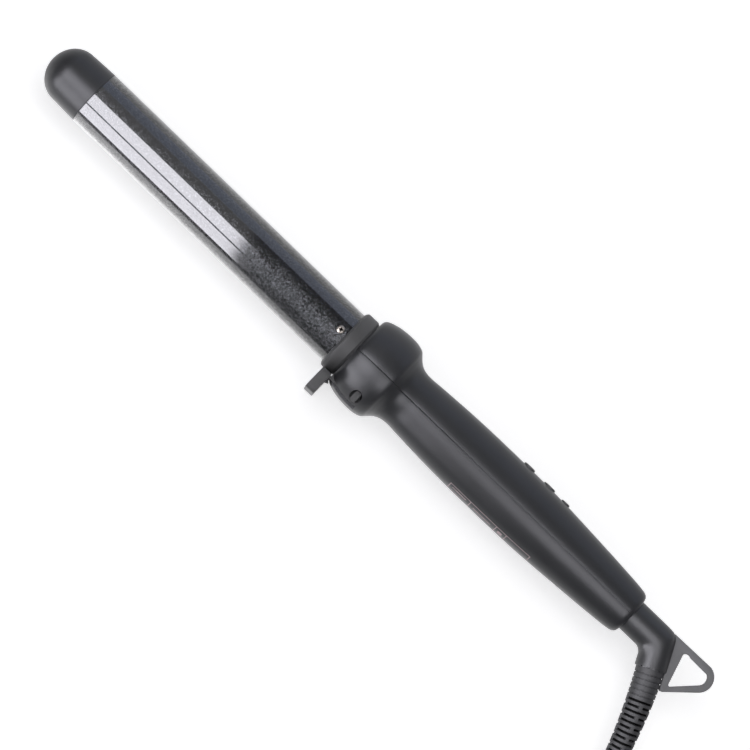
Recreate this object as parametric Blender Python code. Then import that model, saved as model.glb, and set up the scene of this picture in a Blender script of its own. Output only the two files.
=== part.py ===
"""Clipless curling iron: heated barrel, two-shell handle, folding rest stand, swivel cord.

Metres. Everything is placed from the tip of the iron, with x along the axis towards the
cord, +y towards the buttons and +z up. One empty carries the whole object, so that the
iron lies on the floor plane with its length centred on the world origin.
"""
import math

import bmesh
import bpy
from mathutils import Matrix, Vector

MM = 0.001
GAP = 0.3 * MM  # left between two pieces that touch

# Driving dimensions, from the tip.
BARREL_R = 14.0 * MM
BARREL_WALL = 1.0 * MM
BARREL_START = 26.0 * MM
BARREL_END = 191.4 * MM
BULB_R = 21.6 * MM
TUBE_SIDES = 48  # sides of the barrel and the guard ring
OVERALL = 410.8 * MM  # from the tip to the far edge of the hang loop
STAND_FOOT_Y = -28.3 * MM
CORD_R = 3.25 * MM

# The bulb and handle outside, as (x, radius) in millimetres.
HANDLE_OUTSIDE = (
    (190.1, 16.9), (190.5, 18.0), (191.6, 19.1), (195.5, 20.55), (200.0, 21.35), (205.0, 21.6),
    (208.7, 21.3), (212.0, 20.2), (213.6, 18.6), (215.9, 16.4), (218.4, 15.0), (222.2, 14.3),
    (230.3, 14.7), (246.0, 15.5), (262.8, 15.95), (276.0, 16.0), (291.7, 15.9), (308.0, 15.4),
    (327.9, 14.2), (344.0, 13.1), (357.0, 11.95), (360.3, 11.3), (361.7, 10.3), (362.2, 9.0),
)
# The inside of the shells, from the seat of the swivel back to the barrel's mouth.
HANDLE_INSIDE = (
    (362.2, 8.4), (358.5, 8.4), (358.5, 6.0), (353.0, 6.0), (353.0, 9.4), (349.5, 10.4),
    (338.0, 11.5), (318.0, 12.8), (300.0, 13.6), (280.0, 14.0), (262.0, 13.9), (246.0, 13.5),
    (230.0, 12.7), (219.0, 12.3), (213.0, 15.4), (192.1, 15.4), (192.1, 14.4), (190.1, 14.4),
)

PIVOT = Vector((204.3, -15.9, 0.0)) * MM  # the rest stand's pivot, along z
ARM_Z = (6.6 * MM, 9.4 * MM)
STUB_END_Z = 14.3 * MM
STUB_R = 2.65 * MM
STUB_HALF_WIDTH = 1.4 * MM
STAND_BACK_X = 189.7 * MM
STAND_THICK = 5.0 * MM
STAND_HALF_WIDTH = 21.3 * MM
STAND_TOP_Y = -16.3 * MM
COLLAR_R = 15.9 * MM
COLLAR_START = 182.0 * MM

# Buttons: name, x, diameter, height proud of the shell.
BUTTONS = (
    ("power", 283.2 * MM, 6.2 * MM, 0.8 * MM),
    ("minus", 295.9 * MM, 6.5 * MM, 0.7 * MM),
    ("plus", 306.2 * MM, 4.6 * MM, 0.7 * MM),
)
BUTTON_TRAVEL = 0.5 * MM
INDICATOR_X = 271.0 * MM
BOARD_Y = (6.0 * MM, 7.6 * MM)
SWITCH_TOP_Y = 11.6 * MM
SHELL_SCREWS_X = (238.0 * MM, 327.0 * MM)

# Swivel elbow: a straight leg on the axis, then a leg turned towards -y.
ELBOW_CORNER = Vector((379.8, 0.0, 0.0)) * MM
ELBOW_TURN = math.radians(63.8)
ELBOW_R = (8.0 * MM, 7.5 * MM)
ELBOW_BEND_R = 12.5 * MM
ELBOW_LEG = 12.9 * MM

# Strain relief and cord.
RELIEF_LENGTH = 60.0 * MM
RELIEF_R = (6.7 * MM, 4.6 * MM)
RELIEF_TURN = math.radians(-11.2)
RELIEF_DROOP = math.radians(16.0)
FLOOR_Z = -BULB_R
COIL_CENTRE = Vector((461.8, -84.6, 0.0)) * MM
COIL_R = (29.75 * MM, 42.75 * MM)
COIL_HEIGHT = 26.0 * MM
TIE_ANGLE = math.radians(40.0)
TIE_WIDTH = 12.0 * MM
TIE_THICK = 1.0 * MM

for old in list(bpy.data.objects):
    bpy.data.objects.remove(old, do_unlink=True)

iron = bpy.data.objects.new("iron_axis", None)
iron.location = (-OVERALL / 2, -(BULB_R + GAP / 2 + STAND_FOOT_Y) / 2, BULB_R)
bpy.context.scene.collection.objects.link(iron)


# ---------------------------------------------------------------- materials
def finish(name, colour, roughness, metallic=0.0):
    """A plain finish: linear colour, roughness and metalness."""
    made = bpy.data.materials.new(name)
    made.use_nodes = True
    shader = made.node_tree.nodes["Principled BSDF"]
    shader.inputs["Base Color"].default_value = (*colour, 1.0)
    shader.inputs["Roughness"].default_value = roughness
    shader.inputs["Metallic"].default_value = metallic
    return made


soft_black = finish("soft_touch_black", (0.032, 0.032, 0.035), 0.5)
barrel_coat = finish("glitter_barrel_coat", (0.03, 0.034, 0.042), 0.22)
tip_plastic = finish("tip_plastic", (0.04, 0.04, 0.043), 0.55)
rubber = finish("cord_rubber", (0.03, 0.03, 0.032), 0.6)
steel = finish("screw_steel", (0.6, 0.58, 0.55), 0.3, 1.0)
aluminium = finish("shoe_aluminium", (0.72, 0.73, 0.74), 0.4, 1.0)
ceramic = finish("heater_ceramic", (0.85, 0.83, 0.78), 0.6)
phenolic = finish("phenolic", (0.2, 0.11, 0.06), 0.6)
board_green = finish("board_green", (0.03, 0.18, 0.08), 0.5)
copper = finish("contact_copper", (0.75, 0.4, 0.25), 0.35, 1.0)
brass = finish("blade_brass", (0.8, 0.65, 0.35), 0.3, 1.0)
white_wire = finish("white_wire", (0.8, 0.8, 0.78), 0.5)
red_wire = finish("red_wire", (0.6, 0.05, 0.04), 0.5)
lens_red = finish("indicator_lens", (0.8, 0.25, 0.2), 0.15)


# ---------------------------------------------------------------- making meshes
def add(name, bm, look, origin=(0.0, 0.0, 0.0), cutter=False):
    """Turns a closed bmesh into an object on the iron, with its origin on its own axis."""
    bmesh.ops.recalc_face_normals(bm, faces=bm.faces)
    bmesh.ops.translate(bm, verts=bm.verts, vec=-Vector(origin))
    mesh = bpy.data.meshes.new(name)
    bm.to_mesh(mesh)
    bm.free()
    mesh.materials.append(look)
    mesh.shade_smooth()
    mesh.set_sharp_from_angle(angle=math.radians(32))
    made = bpy.data.objects.new(name, mesh)
    made.parent = iron
    made.location = origin
    bpy.context.scene.collection.objects.link(made)
    if cutter:
        made.hide_render = True
        made.display_type = "WIRE"
    return made


def boolean(target, other, operation="DIFFERENCE"):
    """Cuts or joins another mesh, which is then only a helper."""
    step = target.modifiers.new(operation.lower() + "_" + other.name, "BOOLEAN")
    step.operation = operation
    step.object = other
    other.hide_render = True
    other.display_type = "WIRE"


def rings_to_bmesh(rings, closed_along=False, closed_around=True, caps=True):
    """Skins rings of points in order; a ring of one point is a pole."""
    bm = bmesh.new()
    made = [[bm.verts.new(point) for point in ring] for ring in rings]
    pairs = list(zip(made, made[1:]))
    if closed_along:
        pairs.append((made[-1], made[0]))
    for one, two in pairs:
        count = max(len(one), len(two))
        for k in range(count if closed_around else count - 1):
            corners = [
                one[k % len(one)], one[(k + 1) % len(one)],
                two[(k + 1) % len(two)], two[k % len(two)],
            ]
            bm.faces.new(list(dict.fromkeys(corners)))
    if caps and not closed_along:
        for ring in (made[0], made[-1]):
            if len(ring) > 2:
                bm.faces.new(ring)
    if closed_along and not closed_around:
        bm.faces.new([ring[0] for ring in made])
        bm.faces.new([ring[-1] for ring in made])
    return bm


def lathe(outline, sides=40, start=0.0, turn=math.tau, hollow=True):
    """Turns (x, radius) points about the x axis. A hollow outline is a closed loop."""
    full = turn > math.tau - 0.001
    steps = sides if full else sides + 1
    rings = []
    for x, radius in outline:
        angles = [start + turn * k / sides for k in range(steps)]
        ring = [(x, radius * math.cos(a), radius * math.sin(a)) for a in angles]
        rings.append(ring if radius > 0 else [(x, 0.0, 0.0)])
    return rings_to_bmesh(rings, closed_along=hollow, closed_around=full)


def tube(points, radius, sides=10):
    """A round bar along points; radius is one number, or one for each point."""
    points = [Vector(point) for point in points]
    radii = radius if isinstance(radius, list) else [radius] * len(points)
    side = None
    rings = []
    for k, point in enumerate(points):
        ahead = points[min(k + 1, len(points) - 1)] - points[max(k - 1, 0)]
        ahead.normalize()
        if side is None:
            side = ahead.cross((0, 0, 1) if abs(ahead.z) < 0.9 else (0, 1, 0))
        side = (side - ahead * side.dot(ahead)).normalized()
        up = ahead.cross(side)
        angles = [math.tau * j / sides for j in range(sides)]
        rings.append([point + radii[k] * (side * math.cos(a) + up * math.sin(a)) for a in angles])
    return rings_to_bmesh(rings)


def cylinder(centre, radius, height, axis="Z", sides=20):
    """A round bar from centre, running height along the axis."""
    ahead = {"X": Vector((1, 0, 0)), "Y": Vector((0, 1, 0)), "Z": Vector((0, 0, 1))}[axis]
    centre = Vector(centre)
    return tube([centre, centre + ahead * height], radius, sides)


def block(low, high):
    """A box between two corners."""
    bm = bmesh.new()
    bmesh.ops.create_cube(bm, size=1.0)
    low, high = Vector(low), Vector(high)
    for vert in bm.verts:
        vert.co = [(low[i] + high[i]) / 2 + vert.co[i] * (high[i] - low[i]) for i in range(3)]
    return bm


def prism(outline, low, high, axis="Z"):
    """Extrudes a flat closed outline along an axis. On X the outline is (y, z), on Y (x, z)."""
    place = {
        "X": lambda p, w: (w, p[0], p[1]),
        "Y": lambda p, w: (p[0], w, p[1]),
        "Z": lambda p, w: (p[0], p[1], w),
    }[axis]
    return rings_to_bmesh([[place(p, w) for p in outline] for w in (low, high)])


def arc(centre, radius, start, end, steps):
    """Points in degrees round a centre, both ends included."""
    angles = [math.radians(start + (end - start) * k / steps) for k in range(steps + 1)]
    return [(centre[0] + radius * math.cos(a), centre[1] + radius * math.sin(a)) for a in angles]


def rounded(half_x, half_y, radius, centre=(0.0, 0.0), steps=4):
    """A rectangle with round corners."""
    points = []
    corners = ((1, 1, 0), (-1, 1, 90), (-1, -1, 180), (1, -1, 270))
    for sx, sy, start in corners:
        middle = (centre[0] + sx * (half_x - radius), centre[1] + sy * (half_y - radius))
        points += arc(middle, radius, start, start + 90, steps)
    return points


def smooth_route(points, count):
    """Even points along a Catmull-Rom curve through the given ones."""
    points = [Vector(point) for point in points]
    ends = [points[0] * 2 - points[1]] + points + [points[-1] * 2 - points[-2]]
    fine = []
    for a, b, c, d in zip(ends, ends[1:], ends[2:], ends[3:]):
        for k in range(24):
            t = k / 24
            fine.append(
                0.5 * ((2 * b) + (c - a) * t + (2 * a - 5 * b + 4 * c - d) * t * t
                       + (3 * b - a - 3 * c + d) * t * t * t)
            )
    fine.append(points[-1])
    reached = [0.0]
    for one, two in zip(fine, fine[1:]):
        reached.append(reached[-1] + (two - one).length)
    even = []
    k = 0
    for j in range(count):
        want = reached[-1] * j / (count - 1)
        while k < len(fine) - 2 and reached[k + 1] < want:
            k += 1
        share = (want - reached[k]) / max(reached[k + 1] - reached[k], 1e-9)
        even.append(fine[k].lerp(fine[k + 1], min(share, 1.0)))
    return even


def cord_curve(name, points, look=rubber, radius=CORD_R, sides_level=3):
    """A cord as a poly curve with a round bevel and filled ends."""
    curve = bpy.data.curves.new(name, "CURVE")
    curve.dimensions = "3D"
    curve.bevel_depth = radius
    curve.bevel_resolution = sides_level
    curve.use_fill_caps = True
    line = curve.splines.new("POLY")
    line.points.add(len(points) - 1)
    for spot, point in zip(line.points, points):
        spot.co = (*point, 1.0)
    curve.materials.append(look)
    made = bpy.data.objects.new(name, curve)
    made.parent = iron
    bpy.context.scene.collection.objects.link(made)
    return made


def mm(points):
    """The same points, given in millimetres, in metres."""
    return [tuple(value * MM for value in point) for point in points]


# ---------------------------------------------------------------- barrel
def make_cool_tip():
    """Domed cap with a hollow spigot that plugs the barrel's end."""
    dome_r, dome_length, skirt_r = 13.4 * MM, 12.2 * MM, 13.85 * MM
    spigot_r = BARREL_R - BARREL_WALL - GAP
    end = BARREL_START - GAP
    dome = [(dome_length * (1 - math.cos(a)), dome_r * math.sin(a))
            for a in [math.pi / 2 * k / 8 for k in range(9)]]
    outline = dome + [
        (end, skirt_r), (end, spigot_r), (end + 10 * MM, spigot_r),
        (end + 10 * MM, spigot_r - 1.8 * MM), (9.0 * MM, spigot_r - 1.8 * MM), (4.0 * MM, 6.0 * MM),
        (3.0 * MM, 0.0),
    ]
    return add("cool_tip", lathe(outline, hollow=False), tip_plastic)


SCREW_X = 178.8 * MM
SCREW_SHANK_R = 0.95 * MM
SCREW_LOW = 9.8 * MM  # where its shank ends, from the axis
SCREW_TILT = math.asin(1.1 / 14.0)  # the screw sits a little towards +y of the top line


def tilt_from_top(bm):
    """Leans work on the barrel's top line over to where the screw sits."""
    bmesh.ops.rotate(bm, verts=bm.verts, cent=(0, 0, 0), matrix=Matrix.Rotation(-SCREW_TILT, 3, "X"))
    return bm


def make_barrel():
    """The heated tube, and the screw through it with its pan head."""
    inside = BARREL_R - BARREL_WALL
    outline = [
        (BARREL_START, BARREL_R), (BARREL_END, BARREL_R), (BARREL_END, inside), (BARREL_START, inside),
    ]
    barrel = add("barrel_tube", lathe(outline, TUBE_SIDES), barrel_coat)
    hole = tilt_from_top(cylinder((SCREW_X, 0, 8 * MM), 1.3 * MM, 8 * MM, sides=12))
    boolean(barrel, add("barrel_screw_hole", hole, steel, cutter=True))

    head_low = BARREL_R + GAP / 2
    head_top = head_low + 1.0 * MM
    outline = [
        (-head_top, 0), (-head_top, 1.2 * MM), (-head_low - 0.7 * MM, 1.75 * MM), (-head_low, 1.9 * MM),
        (-head_low, SCREW_SHANK_R), (-SCREW_LOW, SCREW_SHANK_R), (-SCREW_LOW, 0),
    ]
    screw = lathe(outline, 16, hollow=False)
    upright = Matrix.Rotation(math.pi / 2, 3, "Y")
    bmesh.ops.rotate(screw, verts=screw.verts, cent=(0, 0, 0), matrix=upright)
    bmesh.ops.translate(screw, verts=screw.verts, vec=(SCREW_X, 0, 0))
    add("barrel_screw", tilt_from_top(screw), steel)


def make_socket():
    """Heat-proof collar: the barrel is screwed to its nose, the shells clamp its flange."""
    bore = 7.0
    outline = mm([
        (172.0, 12.7), (191.7, 12.7), (191.7, 14.1), (192.4, 14.1), (192.4, 15.1), (196.5, 15.1),
        (196.5, 11.0), (214.0, 11.0), (214.0, bore), (172.0, bore),
    ])
    socket = add("barrel_socket", lathe(outline), phenolic)
    hole = tilt_from_top(cylinder((SCREW_X, 0, 6 * MM), 1.25 * MM, 8 * MM, sides=12))
    boolean(socket, add("socket_screw_hole", hole, steel, cutter=True))


def make_heater():
    """A flat ceramic heater between two half-round aluminium shoes."""
    start, end, radius, flat = 52.0 * MM, 164.0 * MM, 12.6 * MM, 1.35 * MM
    lean = math.degrees(math.asin(flat / radius))
    half = arc((0, 0), radius, lean, 180 - lean, 14)
    add("heater_shoe_upper", prism(half, start, end, "X"), aluminium)
    other = [(y, -z) for y, z in half]
    add("heater_shoe_lower", prism(other, start, end, "X"), aluminium)
    slab = block((54 * MM, -6 * MM, -1 * MM), (162 * MM, 6 * MM, 1 * MM))
    add("ceramic_heater", slab, ceramic)
    probe = tube(mm([(166.0, 0, 4.8), (171.0, 0, 4.8)]), 1.2 * MM, 8)
    add("thermistor", probe, ceramic)
    fuse = tube(mm([(196.0, -4.2, 0), (206.0, -4.2, 0)]), 2.0 * MM, 12)
    add("thermal_fuse", fuse, brass)


def make_leads():
    """Silicone wires from the heater, its fuse and its probe back to the control board."""
    lead_r, probe_lead_r = 0.8 * MM, 0.6 * MM
    routes = {
        "heater_lead_line": [(162.3, -3.5, 0), (172, -3.8, 0), (186, -4.2, 0), (195.7, -4.2, 0)],
        "fuse_lead": [(206.3, -4.2, 0), (214, -4.0, -1), (226, -1.5, -5), (240, 2.5, -5.6),
                      (253.6, 6.8, -5.0)],
        "heater_lead_neutral": [(162.3, 3.5, 0), (175, 3.6, 0), (205, 3.6, 0.5), (222, 3.2, 3.5),
                                (240, 4.4, 5.6), (253.6, 6.8, 5.0)],
        "thermistor_lead": [(171.3, 0, 4.8), (190, 0, 4.8), (212, 0.2, 4.6), (228, 0.5, 7.6),
                            (242, 1.6, 8.0), (253.6, 3.6, 6.6), (259, 5.0, 6.2)],
    }
    looks = {"heater_lead_line": red_wire, "fuse_lead": red_wire}
    for name, route in routes.items():
        points = smooth_route(mm(route), 14)
        radius = probe_lead_r if name == "thermistor_lead" else lead_r
        add(name, tube(points, radius, 6), looks.get(name, white_wire))


def make_guard_ring():
    """Fixed ring round the barrel's foot, in front of the bulb."""
    bore = BARREL_R + GAP
    outline = [
        (COLLAR_START, bore), (COLLAR_START, COLLAR_R - 1.5 * MM),
        (COLLAR_START + 0.7 * MM, COLLAR_R - 0.5 * MM), (COLLAR_START + 1.9 * MM, COLLAR_R),
        (STAND_BACK_X, COLLAR_R), (STAND_BACK_X, bore),
    ]
    add("heat_guard_ring", lathe(outline, TUBE_SIDES), soft_black)


# ---------------------------------------------------------------- handle shells
def shell_outline():
    """A shell's wall as one closed loop."""
    return mm(HANDLE_OUTSIDE) + mm(HANDLE_INSIDE)


def outside_radius(x):
    """The handle's outer radius at a station."""
    for (x0, r0), (x1, r1) in zip(mm(HANDLE_OUTSIDE), mm(HANDLE_OUTSIDE[1:])):
        if x0 <= x <= x1:
            return r0 + (r1 - r0) * (x - x0) / (x1 - x0)
    return mm(HANDLE_OUTSIDE)[-1][1]


def make_shells():
    """Two half shells that meet on the plane y = 0."""
    sides = 20
    upper_half = lathe(shell_outline(), sides, -math.pi / 2, math.pi)
    lower_half = lathe(shell_outline(), sides, math.pi / 2, math.pi)
    upper = add("handle_shell_upper", upper_half, soft_black)
    lower = add("handle_shell_lower", lower_half, soft_black)
    upper.location.y = GAP / 2
    lower.location.y = -GAP / 2

    for name, x, diameter, _proud in BUTTONS:
        hole = cylinder((x, 9 * MM, 0), diameter / 2 + GAP, 10 * MM, "Y", 24)
        boolean(upper, add("hole_" + name, hole, soft_black, cutter=True))
    window = cylinder((INDICATOR_X, 9 * MM, 0), 1.5 * MM + GAP, 10 * MM, "Y", 12)
    boolean(upper, add("hole_indicator", window, soft_black, cutter=True))

    for k, x in enumerate(SHELL_SCREWS_X):
        in_wall = outside_radius(x) - 1.1 * MM
        low_boss = cylinder((x, -in_wall, 0), 3.6 * MM, in_wall - GAP, "Y", 16)
        boolean(lower, add(f"lower_boss_{k}", low_boss, soft_black, cutter=True), "UNION")
        top_boss = cylinder((x, GAP, 0), 2.9 * MM, in_wall - GAP, "Y", 16)
        boolean(upper, add(f"upper_boss_{k}", top_boss, soft_black, cutter=True), "UNION")
        pilot = cylinder((x, -1 * MM, 0), 1.4 * MM, 9.5 * MM, "Y", 12)
        boolean(upper, add(f"pilot_{k}", pilot, soft_black, cutter=True))
        clear = cylinder((x, -20 * MM, 0), 1.5 * MM, 22 * MM, "Y", 12)
        boolean(lower, add(f"screw_way_{k}", clear, soft_black, cutter=True))
        recess = cylinder((x, -20 * MM, 0), 2.6 * MM, 11.7 * MM, "Y", 16)
        boolean(lower, add(f"screw_recess_{k}", recess, soft_black, cutter=True))

    stub_hole = cylinder((PIVOT.x, PIVOT.y, -20 * MM), STUB_R + GAP, 40 * MM, "Z", 24)
    boolean(lower, add("stub_hole", stub_hole, soft_black, cutter=True))
    for side, name in ((1, "top"), (-1, "bottom")):
        low, high = sorted((side * (ARM_Z[0] - GAP), side * (ARM_Z[1] + GAP)))
        slot = block((188 * MM, -26 * MM, low), (PIVOT.x + STUB_R + GAP, PIVOT.y + STUB_R + GAP, high))
        boolean(lower, add("arm_slot_" + name, slot, soft_black, cutter=True))


def make_shell_screws():
    """Self-tapping screws from the lower shell up into the upper one."""
    outline = mm([(-10.1, 0), (-10.1, 1.7), (-9.7, 2.1), (-8.6, 2.1), (-8.6, 1.1), (7.6, 1.1), (8.2, 0)])
    across = Matrix.Rotation(math.pi / 2, 3, "Z")
    for name, x in zip(("front", "rear"), SHELL_SCREWS_X):
        screw = lathe(outline, 14, hollow=False)
        bmesh.ops.rotate(screw, verts=screw.verts, cent=(0, 0, 0), matrix=across)
        bmesh.ops.translate(screw, verts=screw.verts, vec=(x, 0, 0))
        add("shell_screw_" + name, screw, steel)


# ---------------------------------------------------------------- controls
def make_controls():
    """Board, tact switches, push buttons and the indicator light."""
    low, high = BOARD_Y
    across = Matrix.Rotation(math.pi / 2, 3, "Z")
    add("control_board", block((254 * MM, low, -7.4 * MM), (322 * MM, high, 7.4 * MM)), board_green)
    for name, x, diameter, proud in BUTTONS:
        base = high + GAP
        body = block((x - 3 * MM, base, -3 * MM), (x + 3 * MM, 11.0 * MM, 3 * MM))
        switch = add("switch_" + name, body, steel)
        plunger = cylinder((x, 10.5 * MM, 0), 1.2 * MM, SWITCH_TOP_Y - 10.5 * MM, "Y", 12)
        boolean(switch, add("plunger_" + name, plunger, steel, cutter=True), "UNION")
        surface = outside_radius(x)
        radius = diameter / 2
        bottom = SWITCH_TOP_Y + BUTTON_TRAVEL
        lip_top = bottom + 0.7 * MM
        outline = [
            (bottom, 0), (bottom, radius + 0.7 * MM), (lip_top, radius + 0.7 * MM), (lip_top, radius),
            (surface + proud - 0.5 * MM, radius), (surface + proud - 0.15 * MM, radius - 0.2 * MM),
            (surface + proud, radius - 0.7 * MM), (surface + proud, 0),
        ]
        cap = lathe(outline, 24, hollow=False)
        bmesh.ops.rotate(cap, verts=cap.verts, cent=(0, 0, 0), matrix=across)
        bmesh.ops.translate(cap, verts=cap.verts, vec=(x, 0, 0))
        add("button_" + name, cap, soft_black, origin=(x, bottom, 0))
    led = block((INDICATOR_X - 1 * MM, high + GAP, -1 * MM), (INDICATOR_X + 1 * MM, 9.4 * MM, 1 * MM))
    add("indicator_led", led, ceramic)
    pipe = cylinder((INDICATOR_X, 9.7 * MM, 0), 1.5 * MM, 6.25 * MM, "Y", 12)
    add("indicator_lens", pipe, lens_red)


# ---------------------------------------------------------------- rest stand
def make_stand():
    """Foot plate on two arms, whose stubs turn in the bulb's sides."""
    front = STAND_BACK_X - STAND_THICK
    middle = (STAND_TOP_Y + STAND_FOOT_Y) / 2
    half_height = (STAND_TOP_Y - STAND_FOOT_Y) / 2
    corners = rounded(half_height, STAND_HALF_WIDTH, 2.5 * MM, (middle, 0))
    plate = prism(corners, front, STAND_BACK_X, "X")
    stand = add("rest_stand", plate, soft_black, origin=PIVOT)
    half = 2.1 * MM
    inner_x = STAND_BACK_X - 2 * MM  # how far the arms reach into the plate
    shoulder_x = STAND_BACK_X + 0.35 * MM
    for side, name in ((1, "top"), (-1, "bottom")):
        outline = [(inner_x, PIVOT.y - half - 0.6 * MM), (STAND_BACK_X + 1 * MM, PIVOT.y - half)]
        outline += arc((PIVOT.x, PIVOT.y), STUB_R, -52, 52, 8)
        outline += [
            (STAND_BACK_X + 1.4 * MM, PIVOT.y + half), (shoulder_x, PIVOT.y + half - 0.6 * MM),
            (shoulder_x, STAND_TOP_Y - 0.4 * MM), (inner_x, STAND_TOP_Y - 1.0 * MM),
        ]
        low, high = sorted((side * ARM_Z[0], side * ARM_Z[1]))
        arm = add("stand_arm_" + name, prism(outline, low, high), soft_black, cutter=True)
        boolean(stand, arm, "UNION")
        reach = math.degrees(math.acos(STUB_HALF_WIDTH / STUB_R))
        bar = arc((PIVOT.x, PIVOT.y), STUB_R, reach, 180 - reach, 4)
        bar += arc((PIVOT.x, PIVOT.y), STUB_R, 180 + reach, 360 - reach, 4)
        low, high = sorted((side * (ARM_Z[1] - 1 * MM), side * STUB_END_Z))
        stub = add("stand_stub_" + name, prism(bar, low, high), soft_black, cutter=True)
        boolean(stand, stub, "UNION")


# ---------------------------------------------------------------- swivel
def elbow_rings(sides=24):
    """Rings from the handle's end round the bend, sharp outside and rounded inside."""
    pivot_x = ELBOW_CORNER.x - ELBOW_BEND_R * math.tan(ELBOW_TURN / 2)
    pivot = Vector((pivot_x, -ELBOW_BEND_R, 0))
    edges = [(Vector((x, -ELBOW_R[0], 0)), Vector((x, ELBOW_R[0], 0))) for x in (358.9 * MM, 366 * MM)]
    steps = 10
    for k in range(steps + 1):
        a = ELBOW_TURN * k / steps
        ray = Vector((math.sin(a), math.cos(a), 0))
        first = (ELBOW_BEND_R + ELBOW_R[0]) / math.cos(a)
        second = (ELBOW_BEND_R + ELBOW_R[1]) / math.cos(ELBOW_TURN - a)
        far = (first ** -14 + second ** -14) ** (-1 / 14)
        near = ELBOW_BEND_R - ELBOW_R[0] + (ELBOW_R[0] - ELBOW_R[1]) * k / steps
        edges.append((pivot + ray * near, pivot + ray * far))
    end = elbow_end()
    across = Vector((math.sin(ELBOW_TURN), math.cos(ELBOW_TURN), 0))
    edges.append((end - across * ELBOW_R[1], end + across * ELBOW_R[1]))
    rings = []
    for k, (near, far) in enumerate(edges):
        middle = (near + far) / 2
        out = far - middle
        depth = ELBOW_R[0] + (ELBOW_R[1] - ELBOW_R[0]) * k / (len(edges) - 1)
        angles = [math.tau * j / sides for j in range(sides)]
        rings.append([middle + out * math.cos(a) + Vector((0, 0, depth * math.sin(a))) for a in angles])
    return rings


def leg_direction():
    """Which way the elbow's second leg points."""
    return Vector((math.cos(ELBOW_TURN), -math.sin(ELBOW_TURN), 0))


def elbow_end():
    """The middle of the second leg's end."""
    return ELBOW_CORNER + leg_direction() * ELBOW_LEG


BEND_OFFSET = Vector((-1.2, -2.6, 0.0)) * MM  # from the corner to the middle of the bend


def loop_outlines():
    """The hang loop's outside and hole, flat in the xy plane."""
    outer = [(382.6, 7.6)] + arc((403.7, 0.9), 7.1, 82, -47, 12)
    outer += [(396.5, -15.2), (395.7, -15.7), (392.2, -8.7), (390.4, -8.2), (384.0, 2.0)]
    hole = arc((394.0, 2.1), 2.7, 150, 62, 5) + arc((403.8, 1.0), 3.8, 60, -47, 8)
    hole += [(397.3, -11.3), (396.5, -11.5), (396.0, -10.8)]
    return mm(outer), mm(hole)


def make_elbow():
    """Elbow and hang loop, one moulding, with a spindle held in the handle's end."""
    elbow = add("swivel_elbow", rings_to_bmesh(elbow_rings()), soft_black)
    outline = mm([
        (332.0, 0), (332.0, 4.0), (349.6, 4.0), (349.6, 8.0), (352.7, 8.0), (352.7, 5.6),
        (361.0, 5.6), (361.0, 0),
    ])
    spindle = add("elbow_spindle", lathe(outline, 24, hollow=False), soft_black, cutter=True)
    boolean(elbow, spindle, "UNION")
    outer, hole = loop_outlines()
    half = 1.6 * MM
    loop = add("elbow_loop", prism(outer, -half, half), soft_black, cutter=True)
    boolean(loop, add("loop_hole", prism(hole, -3 * MM, 3 * MM), soft_black, cutter=True))
    boolean(elbow, loop, "UNION")
    beyond = elbow_end() + leg_direction() * 3 * MM
    bore = smooth_route([
        (328 * MM, 0, 0), (360 * MM, 0, 0), (373 * MM, -0.4 * MM, 0), ELBOW_CORNER + BEND_OFFSET, beyond,
    ], 16)
    boolean(elbow, add("elbow_bore", tube(bore, 2.6 * MM, 12), soft_black, cutter=True))


def make_swivel_contacts():
    """Slip rings on the spindle and the springs that feed them from the handle."""
    for name, x in (("neutral", 336.0), ("line", 343.5)):
        outline = mm([(x, 4.3), (x, 5.6), (x + 2.4, 5.6), (x + 2.4, 4.3)])
        add("slip_ring_" + name, lathe(outline, 24), copper)
        leaf = [(-7.9, -5.2), (-7.4, -5.2), (-5.95, 0.0), (-7.4, 5.2), (-7.9, 5.2), (-6.4, 0.0)]
        add("brush_" + name, prism(mm(leaf), (x + 0.3) * MM, (x + 2.1) * MM, "X"), copper)
    holder = block((334.0 * MM, -9.3 * MM, -4.6 * MM), (346.5 * MM, -8.2 * MM, 4.6 * MM))
    add("brush_holder", holder, phenolic)
    wire_r = 0.8 * MM
    for name, side, look in (("line", 1, red_wire), ("neutral", -1, white_wire)):
        route = [
            (333.7, -8.8, 3.8), (330.4, -8.4, 4.9), (327.6, -5, 5.4), (326.6, 0, 5.4),
            (325.6, 4.6, 5.4), (322.3, 6.8, 5.0),
        ]
        points = smooth_route(mm([(x, y, side * z) for x, y, z in route]), 12)
        add("supply_lead_" + name, tube(points, wire_r, 6), look)
        apart = Vector((0, 0, side * 1.2 * MM))
        first, second = Vector((352, 0, 0)) * MM, Vector((372, -0.3, 0)) * MM
        core = smooth_route(
            [first + apart, second + apart, ELBOW_CORNER + BEND_OFFSET + apart, elbow_end() + apart], 12)
        add("cord_core_" + name, tube(core, wire_r, 6), look)


# ---------------------------------------------------------------- strain relief and cord
def relief_line(count=22):
    """Centre points of the strain relief, turning and drooping a little under its own weight."""
    point = elbow_end() + leg_direction() * GAP
    step = RELIEF_LENGTH / (count - 1)
    points = [point.copy()]
    for k in range(count - 1):
        share = (k + 0.5) / (count - 1)
        heading = -ELBOW_TURN + RELIEF_TURN * share
        dip = RELIEF_DROOP * share ** 1.5
        level = math.cos(dip)
        point += Vector((math.cos(heading) * level, math.sin(heading) * level, -math.sin(dip))) * step
        points.append(point.copy())
    return points


def make_strain_relief():
    """A sleeve that tapers from the elbow to the cord."""
    line = relief_line()
    count = len(line)
    thinning = RELIEF_R[1] - RELIEF_R[0]
    radii = [RELIEF_R[0] + thinning * (k / (count - 1)) ** 1.15 for k in range(count)]
    add("strain_relief", tube(line, radii, 16), rubber)


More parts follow.
